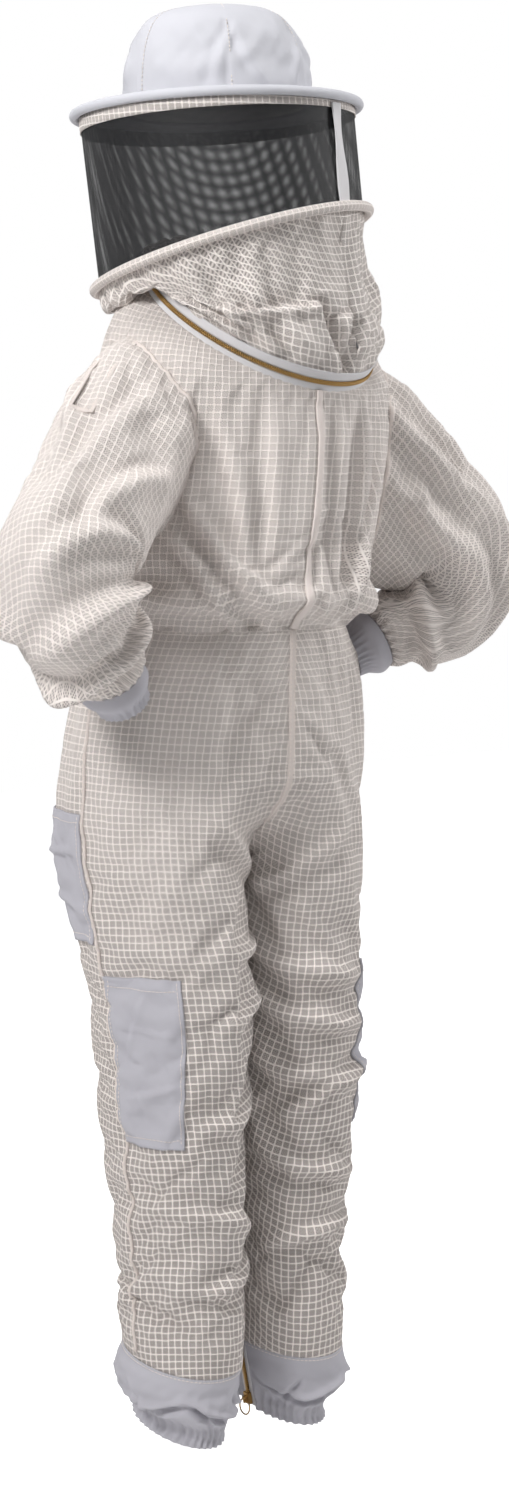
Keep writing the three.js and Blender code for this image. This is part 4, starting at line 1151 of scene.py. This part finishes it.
def elastic_band(name, points, across, body, flip=False, closed=False):
    """One band of elastic, with fine ribs across it."""
    u = arc_lengths(points)[0]
    points = points + grid_normals(points, closed) * (0.3 * np.sin(u * 2.2))[..., None] * (0 if closed else 1)
    uv = np.stack([u, across], -1)
    piece = cloth(
        f"{name}_band", points, uv, 1.3, M["elastic"], body, [name], flip=flip, closed=closed
    )
    declare(points)


# each fold: where it starts and ends, how wide and how high it is, and how far it bows
LEFT_TROUSER_FOLDS = [
    ((300, 700), (150, 800), 12, 9, 10),
    ((300, 650), (170, 630), 12, 10, 8),
    ((290, 600), (150, 550), 12, 9, 8),
    ((240, 460), (110, 430), 12, 8, 10),
    ((60, 330), (190, 290), 12, 8, 8),
    ((210, 260), (90, 230), 10, 8, 6),
    ((170, 700), (150, 420), 20, 7),
]
RIGHT_TROUSER_FOLDS = [
    ((300, 690), (150, 770), 12, 10, 10),
    ((290, 625), (110, 590), 12, 13, 8),
    ((280, 570), (100, 530), 11, 13, 8),
    ((270, 500), (130, 470), 11, 11, 8),
    ((60, 480), (200, 425), 11, 11, 8),
    ((230, 385), (80, 350), 11, 11, 8),
    ((60, 290), (200, 265), 10, 10, 6),
]


def trouser_folds(side, around, height):
    """Creases of one trouser leg; around is counted from the outseam towards the back."""
    seed = 51 if side > 0 else 55
    lift = ripples(around, height, seed, 160, 7.5, (0.8, 1.6)) + ripples(around, height, seed + 1, 60, 2.2)
    if side > 0:
        for row in LEFT_TROUSER_FOLDS:
            lift += fold(around, height, *row)
        return lift
    for row in RIGHT_TROUSER_FOLDS:
        lift += fold(around, height, *row)
    return lift


TROUSER_HEIGHTS = np.linspace(WAIST - 0.3, HEM, 190)
TROUSER_ANGLES = np.linspace(-180, 180, 145)
FINISHED = {}


def on_trousers(side, height, angle):
    """A point and a normal of the finished cloth of one leg; the angle is in degrees."""
    points, normals = FINISHED[side]
    row = (TROUSER_HEIGHTS[0] - height) / (TROUSER_HEIGHTS[0] - TROUSER_HEIGHTS[-1]) * (len(points) - 1)
    column = (angle + 180) / 360 * (points.shape[1] - 1)
    return sample(points, row, column), unit_rows(sample(normals, row, column))


def build_trousers():
    for name, side in (("left", 1), ("right", -1)):
        height, angle = np.meshgrid(TROUSER_HEIGHTS, np.radians(TROUSER_ANGLES), indexing="ij")
        points = trouser_surface(side, height, angle)
        u, v = arc_lengths(points)
        around = u - u[:, 72:73]
        outward = 1 if side < 0 else -1
        normal = grid_normals(points) * outward
        middle = smoothstep(math.pi - np.abs(angle), 0, 0.35)
        fade = smoothstep(WAIST - height, 4, 60) * smoothstep(height, HEM, HEM + 30)
        lift = trouser_folds(side, around, height) * fade * middle
        gathers = np.sin(around / 8.5 + np.sin(around / 27.0) * 2)
        lift += 2.4 * gathers * np.exp(-(WAIST - height) / 34) * middle * smoothstep(WAIST - height, 2, 10)
        lift += 5 * np.exp(-(WAIST - height) / 50) * smoothstep(angle + math.pi, 0, 0.2)
        # room behind the zip slider when it is all the way down
        lift -= 5 * np.exp(-((angle + math.pi) / 0.16) ** 2 - ((height - HIP) / 32) ** 2)
        points = points + normal * lift[..., None]
        loose = middle * smoothstep(WAIST - height, 10, 70) * smoothstep(height, HEM, HEM + 60)
        points = drape(points, 1 - FREEDOM * loose, 0.035, seed=56 + side)
        normal = grid_normals(points) * outward
        FINISHED[side] = points, normal
        uv = np.stack([around, v], -1)
        for face, a, b in (("front", 0, 72), ("back", 72, 144)):
            grid, chart = points[:, a : b + 1], uv[:, a : b + 1]
            piece = cloth(
                f"cloth_{face}_trouser_{name}", grid, chart, MESH_CLOTH, M["mesh"], "suit",
                [f"{face}_trouser_{name}"],
                flip=side > 0,
            )
            declare(grid)
        build_outseam(name, points[:, 72], normal[:, 72], points[:, 73] - points[:, 71])
        if side > 0:
            build_seat_seam(TROUSER_HEIGHTS, points[:, -1], normal[:, -1])


def ribbon(name, line, normals, across, width, rise, body="suit"):
    """A narrow raised seam in the cloth, with its own threads across it."""
    across = unit_rows(across)
    rows = []
    for shift, lift in ((-1, 0.1), (-0.6, 0.8), (0, 1), (0.6, 0.8), (1, 0.1)):
        rows.append(line + across * shift * width / 2 + normals * lift * rise)
    grid = np.stack(rows, 1)
    length = arc_lengths(grid)[1]
    uv = np.stack([np.linspace(0, width, 5)[None] + 0 * length, length], -1)
    flip = bool(np.sum(grid_normals(grid) * normals[:, None]) < 0)
    return cloth(name, grid, uv, 1.0, M["seam"], body, (), flip=flip)


def build_outseam(name, line, normals, across):
    """The overlocked side seam: a low ridge with a zigzag of thread over it."""
    rows = slice(20, 188)
    ribbon(f"{name}_outseam", line[rows], normals[rows], across[rows], 5.0, 2.6)
    zig = np.where(np.arange(188 - 20) % 2, 1.0, -1.0)[:, None] * 2.0
    path = line[rows] + unit_rows(across[rows]) * zig + normals[rows] * 2.5
    stitches(f"{name}_outseam_thread", path, normals[rows], "suit", long=4.6, gap=0.3)


def build_seat_seam(heights, line, normals):
    rows = heights > 770
    middle = line[rows].copy()
    out = unit_rows(normals[rows] * [0, 1, 1] + [0, 0.2, 0])
    across = np.repeat([[1.0, 0, 0]], rows.sum(), 0)
    seam_strip("seat_seam", middle[::-1], out[::-1], -across[::-1], 9, "suit", ["seat_seam_binding"])


# ---- Pockets, gaiters and zips of the legs ----


def pocket(name, side, low, high, start, end, seed):
    """A cotton patch that lies on the finished cloth of the leg."""
    height, angle = np.meshgrid(np.linspace(high, low, 60), np.linspace(start, end, 40), indexing="ij")
    base, normal = on_trousers(side, height, angle)
    u, v = arc_lengths(base)
    wide, long = u.max(), v.max()
    inside = np.minimum.outer(np.sin(np.linspace(0, math.pi, 60)), np.sin(np.linspace(0, math.pi, 40)))
    puff = smoothstep(inside, 0, 0.7)
    lift = ripples(u, v, seed, 60, 3.4) + ripples(u, v, seed + 9, 26, 0.9) + 2.0
    lift += fold(u, v, (10, long * 0.28), (wide * 0.9, long * 0.34), 4, 3.2)
    lift += fold(u, v, (wide, long * 0.6), (15, long * 0.72), 4, 3.0)
    lift += fold(u, v, (0.6 * wide, 12), (0.2 * wide, 0.5 * long), 4, 2.4)
    hem = 0.7 * (v < 14) + 0.7 * (long - v < 10)
    points = base + normal * (2.2 + np.maximum(lift, -0.3) * puff + hem)[..., None]
    flip = bool(np.sum(grid_normals(points) * normal) < 0)
    piece = cloth(
        f"cloth_{name}", points, np.stack([u, v], -1), 2.6, M["cotton"], "suit", [name],
        flip=flip,
    )
    declare(points)
    for k, row in enumerate((4, 56)):
        line = points[row, 1:-1] + normal[row, 1:-1] * 0.1
        stitches(f"{name}_stitches_{k}", line, normal[row, 1:-1], "suit")
    for k, column in enumerate((2, 37)):
        line = points[1:-1, column] + normal[1:-1, column] * 0.1
        stitches(f"{name}_stitches_{k + 2}", line, normal[1:-1, column], "suit")


def gaiter_surface(side, drop, angle):
    half_x, half_y = smooth([(0, 66, 80), (24, 66, 81), (50, 57, 77), (77, 43, 69), (90, 43, 69)], drop)
    inner = lerp(10, 34, drop / GAITER)
    y = half_y * np.sin(angle)
    x = side * (inner + half_x + half_x * np.cos(angle))
    z = HEM - 0.3 - drop - y * math.tan(math.radians(12))
    return np.stack([x, 38 - 8 * drop / GAITER + y, z], -1)


def build_gaiter(name, side):
    slit = 0.1
    drop, angle = np.meshgrid(
        np.linspace(0, GAITER, 60), np.linspace(math.pi + slit, 3 * math.pi - slit, 181), indexing="ij"
    )
    points = gaiter_surface(side, drop, angle)
    normal = grid_normals(points)
    if np.sum(normal * (points - [side * 76, 34, 0])) < 0:
        normal = -normal
    edge = smoothstep(np.minimum(angle - math.pi - slit, 3 * math.pi - slit - angle), 0, 0.25)
    seed = 61 if side > 0 else 62
    around = angle * 72
    lift = ripples(around, drop, seed, 52, 6.0, (1.6, 0.6)) + ripples(around, drop, seed + 9, 24, 1.4)
    lift += 2 * np.exp(-(((drop - 42) / 17) ** 2)) - 3 * np.exp(-(((drop - 70) / 8) ** 2))
    for turn, low, high in ((240, 14, 46), (330, 18, 50), (430, 52, 26), (520, 24, 54), (590, 50, 22)):
        lift += fold(around, drop, (turn, low), (turn + 96, high), 4.5, 6, 5)
        lift += fold(around, drop, (turn + 6, low + 11), (turn + 88, high + 8), 4, -7, 4)
        lift += fold(around, drop, (turn + 40, 62), (turn + 10, 30), 4, -6)
    lift *= np.sin(drop / GAITER * math.pi) ** 0.7 * edge
    gathers = np.sin(angle * 34 + 1.5 * np.sin(angle * 5))
    lift += 1.7 * gathers * smoothstep(drop, 50, 76)
    lift -= 1.8 * np.exp(-(((drop - 81) / 5) ** 2)) * np.sign(edge)
    points = points + normal * lift[..., None]
    flip = bool(np.sum(grid_normals(points) * normal) < 0)
    piece = cloth(
        f"cloth_{name}_gaiter", points, np.stack([around, drop], -1), 1.5, M["cotton"], "suit",
        [f"{name}_gaiter"], flip=flip,
    )
    declare(points)
    stitches(f"{name}_gaiter_stitches", points[2] + normal[2] * 0.2, normal[2], "suit")
    build_straight_zip(
        f"{name}_ankle_zip", gaiter_surface(side, np.array(88.0), np.array(math.pi)),
        gaiter_surface(side, np.array(2.0), np.array(math.pi)), (-side, 0, 0), 84, [f"{name}_ankle_zip"],
    )


def zip_basis(foot, top, out):
    along = unit(top - foot)
    across = unit(np.cross(along, out))
    basis = np.stack([across, along, np.cross(across, along)], -1)
    placed = Matrix(basis.tolist()).to_4x4()
    placed.translation = Vector(metres(foot))
    return placed


def build_straight_zip(name, foot, top, out, length, nodes):
    placed = zip_basis(foot, top, out)
    along = np.linspace(0, length, max(int(length / 6), 2))
    across = np.linspace(-ZIP_TAPE, ZIP_TAPE, 7)
    run, wide = np.meshgrid(along, across, indexing="ij")
    local = np.stack([wide, run, 0 * wide, 0 * wide + 1000], -1) / 1000
    points = local @ np.array(placed).T
    points = points[..., :3] * 1000 + [0, 0, NECK_HEIGHT]
    piece = cloth(
        f"{name}_tape", points, np.stack([wide, run], -1), 1.2, M["tape"], "suit", nodes
    )
    declare(points)
    copies = int(length / 2.8)
    for k, way in enumerate((-1, 1)):
        start = Matrix.Translation((0.0011 * way, 0.0014 * (k + 0.6), 0.0014))
        teeth(f"{name}_teeth_{k}", (0.0032, 0.0016, 0.003), placed @ start, copies, M["brass"], "suit",
              step=(0, 0.0028, 0))


def build_front_zip():
    def front_point(height):
        away = FRONT_NECK[2] - height
        return np.array([FRONT_NECK[0] - FRONT_DRIFT * away, FRONT_NECK[1] - FRONT_SLOPE * away, height])

    foot, top = front_point(HIP + 4), front_point(FRONT_NECK[2] - ZIP_TAPE - 4.3)
    length = float(np.linalg.norm(top - foot))
    build_straight_zip("front_zip", foot, top, (0, -1, 0), length, ["front_zip_left", "front_zip_right"])


def dress_cad_nodes():
    """Materials for the CAD pieces that stay in view or inside."""
    for name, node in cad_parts.items():
        finish = "brass"
        if "wire" in name:
            finish = "steel"
        elif "elastic" in name or name == "sweatband":
            finish = "elastic"
        node.data.materials.clear()
        node.data.materials.append(M[finish])


# ---- Stage ----


LENS = 54.13
CAMERA_TURN = 38  # degrees round from straight behind
CAMERA_PITCH = 5.75  # degrees downwards
CAMERA_AWAY = 4  # metres
EYE_HEIGHT = 1.25
EYE_SHIFT = 0.049
# place, size and power of each lamp, in metres and watts
LAMPS = {
    "key": ((2.9, 0.6, 1.5), 0.9, 92),
    "top": ((0.3, 0.8, 2.3), 1.0, 30),
    "side": ((-2.5, 1.0, 0.9), 0.9, 44),
    "front": ((0.6, -3.4, 1.8), 2.4, 45),
}


def build_stage(light, floor_colour):
    deselect()
    bpy.ops.mesh.primitive_plane_add(size=12)
    floor = bpy.context.object
    floor.name = "floor"
    floor.data.transform(Matrix.Translation((0, 0, -NECK_HEIGHT / 1000)))
    floor.data.materials.append(M["floor"])
    shader = M["floor"].node_tree.nodes["Principled BSDF"]
    shader.inputs["Base Color"].default_value = [*floor_colour, 1]
    glow_for_the_eye(M["floor"].node_tree)
    camera = bpy.data.cameras.new("camera")
    camera.sensor_fit = "VERTICAL"
    camera.sensor_height = 24
    camera.lens = LENS
    turn, pitch = math.radians(CAMERA_TURN), math.radians(CAMERA_PITCH)
    right = Vector((-math.cos(turn), math.sin(turn), 0))
    look = Vector((-math.sin(turn) * math.cos(pitch), -math.cos(turn) * math.cos(pitch), -math.sin(pitch)))
    eye = bpy.data.objects.new("camera", camera)
    eye.location = Vector(
        (CAMERA_AWAY * math.sin(turn), CAMERA_AWAY * math.cos(turn), EYE_HEIGHT - NECK_HEIGHT / 1000)
    ) + right * EYE_SHIFT
    eye.rotation_euler = look.to_track_quat("-Z", "Y").to_euler()
    bpy.context.collection.objects.link(eye)
    bpy.context.scene.camera = eye
    for name, (place, size, power) in LAMPS.items():
        lamp = bpy.data.lights.new(name, "AREA")
        lamp.size = size
        lamp.energy = power * light
        spot = bpy.data.objects.new(name, lamp)
        spot.location = place
        spot.rotation_euler = (Vector((0, 0, -0.4)) - Vector(place)).to_track_quat("-Z", "Y").to_euler()
        bpy.context.collection.objects.link(spot)
    build_world()


def glow_for_the_eye(tree):
    """Lifts the floor to white where the camera sees it, without lighting the suit."""
    path = tree.nodes.new("ShaderNodeLightPath")
    shader = tree.nodes["Principled BSDF"]
    shader.inputs["Emission Color"].default_value = (1, 1, 1, 1)
    glow = maths(tree, "MULTIPLY", path.outputs["Is Camera Ray"], 0.85)
    tree.links.new(glow, shader.inputs["Emission Strength"])


def build_world():
    """White all round for the eye, and a softer white as a light."""
    world = bpy.data.worlds.new("studio")
    world.use_nodes = True
    tree = world.node_tree
    background = tree.nodes["Background"]
    background.inputs["Color"].default_value = (1, 1, 1, 1)
    path = tree.nodes.new("ShaderNodeLightPath")
    strength = maths(tree, "MULTIPLY_ADD", path.outputs["Is Camera Ray"], 0.76, 0.24)
    tree.links.new(strength, background.inputs["Strength"])
    bpy.context.scene.world = world
    bpy.context.scene.view_settings.view_transform = "Standard"


# ---- Add-on ----


class SuitSettings(bpy.types.PropertyGroup):
    """What can be changed without touching the shape that the CAD frame fixes."""

    light: FloatProperty(name="Light", description="Strength of the studio lamps", default=1.0, min=0.0)
    floor_colour: FloatVectorProperty(
        name="Floor", description="Colour of the studio floor", subtype="COLOR",
        default=linear("f4f4f4")[:3],
    )


def operator(identifier, label, explanation, action):
    """An operator that builds one group of pieces."""

    def execute(self, context):
        action(context)
        return {"FINISHED"}

    return type(
        "SUIT_OT_" + identifier,
        (bpy.types.Operator,),
        {"bl_idname": "suit." + identifier, "bl_label": label, "__doc__": explanation, "execute": execute},
    )


def both_sleeves(context):
    build_sleeve("left", 1, LEFT_SLEEVE)
    build_sleeve("right", -1, RIGHT_SLEEVE)


def both_gaiters(context):
    build_gaiter("left", 1)
    build_gaiter("right", -1)


def all_pockets(context):
    for seed, (name, side) in enumerate((("left", 1), ("right", -1))):
        pocket(f"hip_pocket_{name}", side, *HIP_POCKET, 71 + seed)
        pocket(f"thigh_pocket_{name}", side, *THIGH_POCKET, 73 + seed)


def whole_veil(context):
    build_veil()
    build_skirt()


OPERATORS = [
    operator("finishes", "Finishes", "Make every material", lambda c: M.update(build_materials())),
    operator("cad", "CAD pieces", "Give the CAD pieces their materials", lambda c: dress_cad_nodes()),
    operator("hat", "Hat", "Build the crown and the brim", lambda c: build_hat()),
    operator("veil", "Veil", "Build the veil, its hoop and the mesh skirt", whole_veil),
    operator("hood_zip", "Hood zip", "Build the zip round the neck", lambda c: build_hood_zip()),
    operator("bodice", "Bodice", "Build the four panels above the waist", lambda c: build_bodice()),
    operator("sleeves", "Sleeves", "Build both sleeves with their cuffs", both_sleeves),
    operator("trousers", "Trousers", "Build the four panels below the waist", lambda c: build_trousers()),
    operator("pockets", "Pockets", "Build the patch pockets", all_pockets),
    operator("gaiters", "Gaiters", "Build both gaiters with their zips", both_gaiters),
    operator("elastics", "Elastics", "Build the elastic bands", lambda c: build_elastics()),
    operator("front_zip", "Front zip", "Build the zip down the front", lambda c: build_front_zip()),
    operator(
        "stage", "Stage", "Build the floor, the lamps and the camera",
        lambda c: build_stage(c.scene.suit.light, c.scene.suit.floor_colour),
    ),
]


class SUIT_PT_panel(bpy.types.Panel):
    """The suit's settings and its build buttons."""

    bl_idname = "SUIT_PT_panel"
    bl_label = "Beekeeping suit"
    bl_space_type = "VIEW_3D"
    bl_region_type = "UI"
    bl_category = "Suit"

    def draw(self, context):
        self.layout.prop(context.scene.suit, "light")
        self.layout.prop(context.scene.suit, "floor_colour")
        for made in OPERATORS:
            self.layout.operator(made.bl_idname)


CLASSES = [SuitSettings, *OPERATORS, SUIT_PT_panel]


def register():
    for made in CLASSES:
        bpy.utils.register_class(made)
    bpy.types.Scene.suit = PointerProperty(type=SuitSettings)


def unregister():
    del bpy.types.Scene.suit
    for made in reversed(CLASSES):
        bpy.utils.unregister_class(made)


def main():
    register()
    for made in OPERATORS:
        getattr(bpy.ops.suit, made.bl_idname.split(".")[1])()


if __name__ == "__main__":
    main()
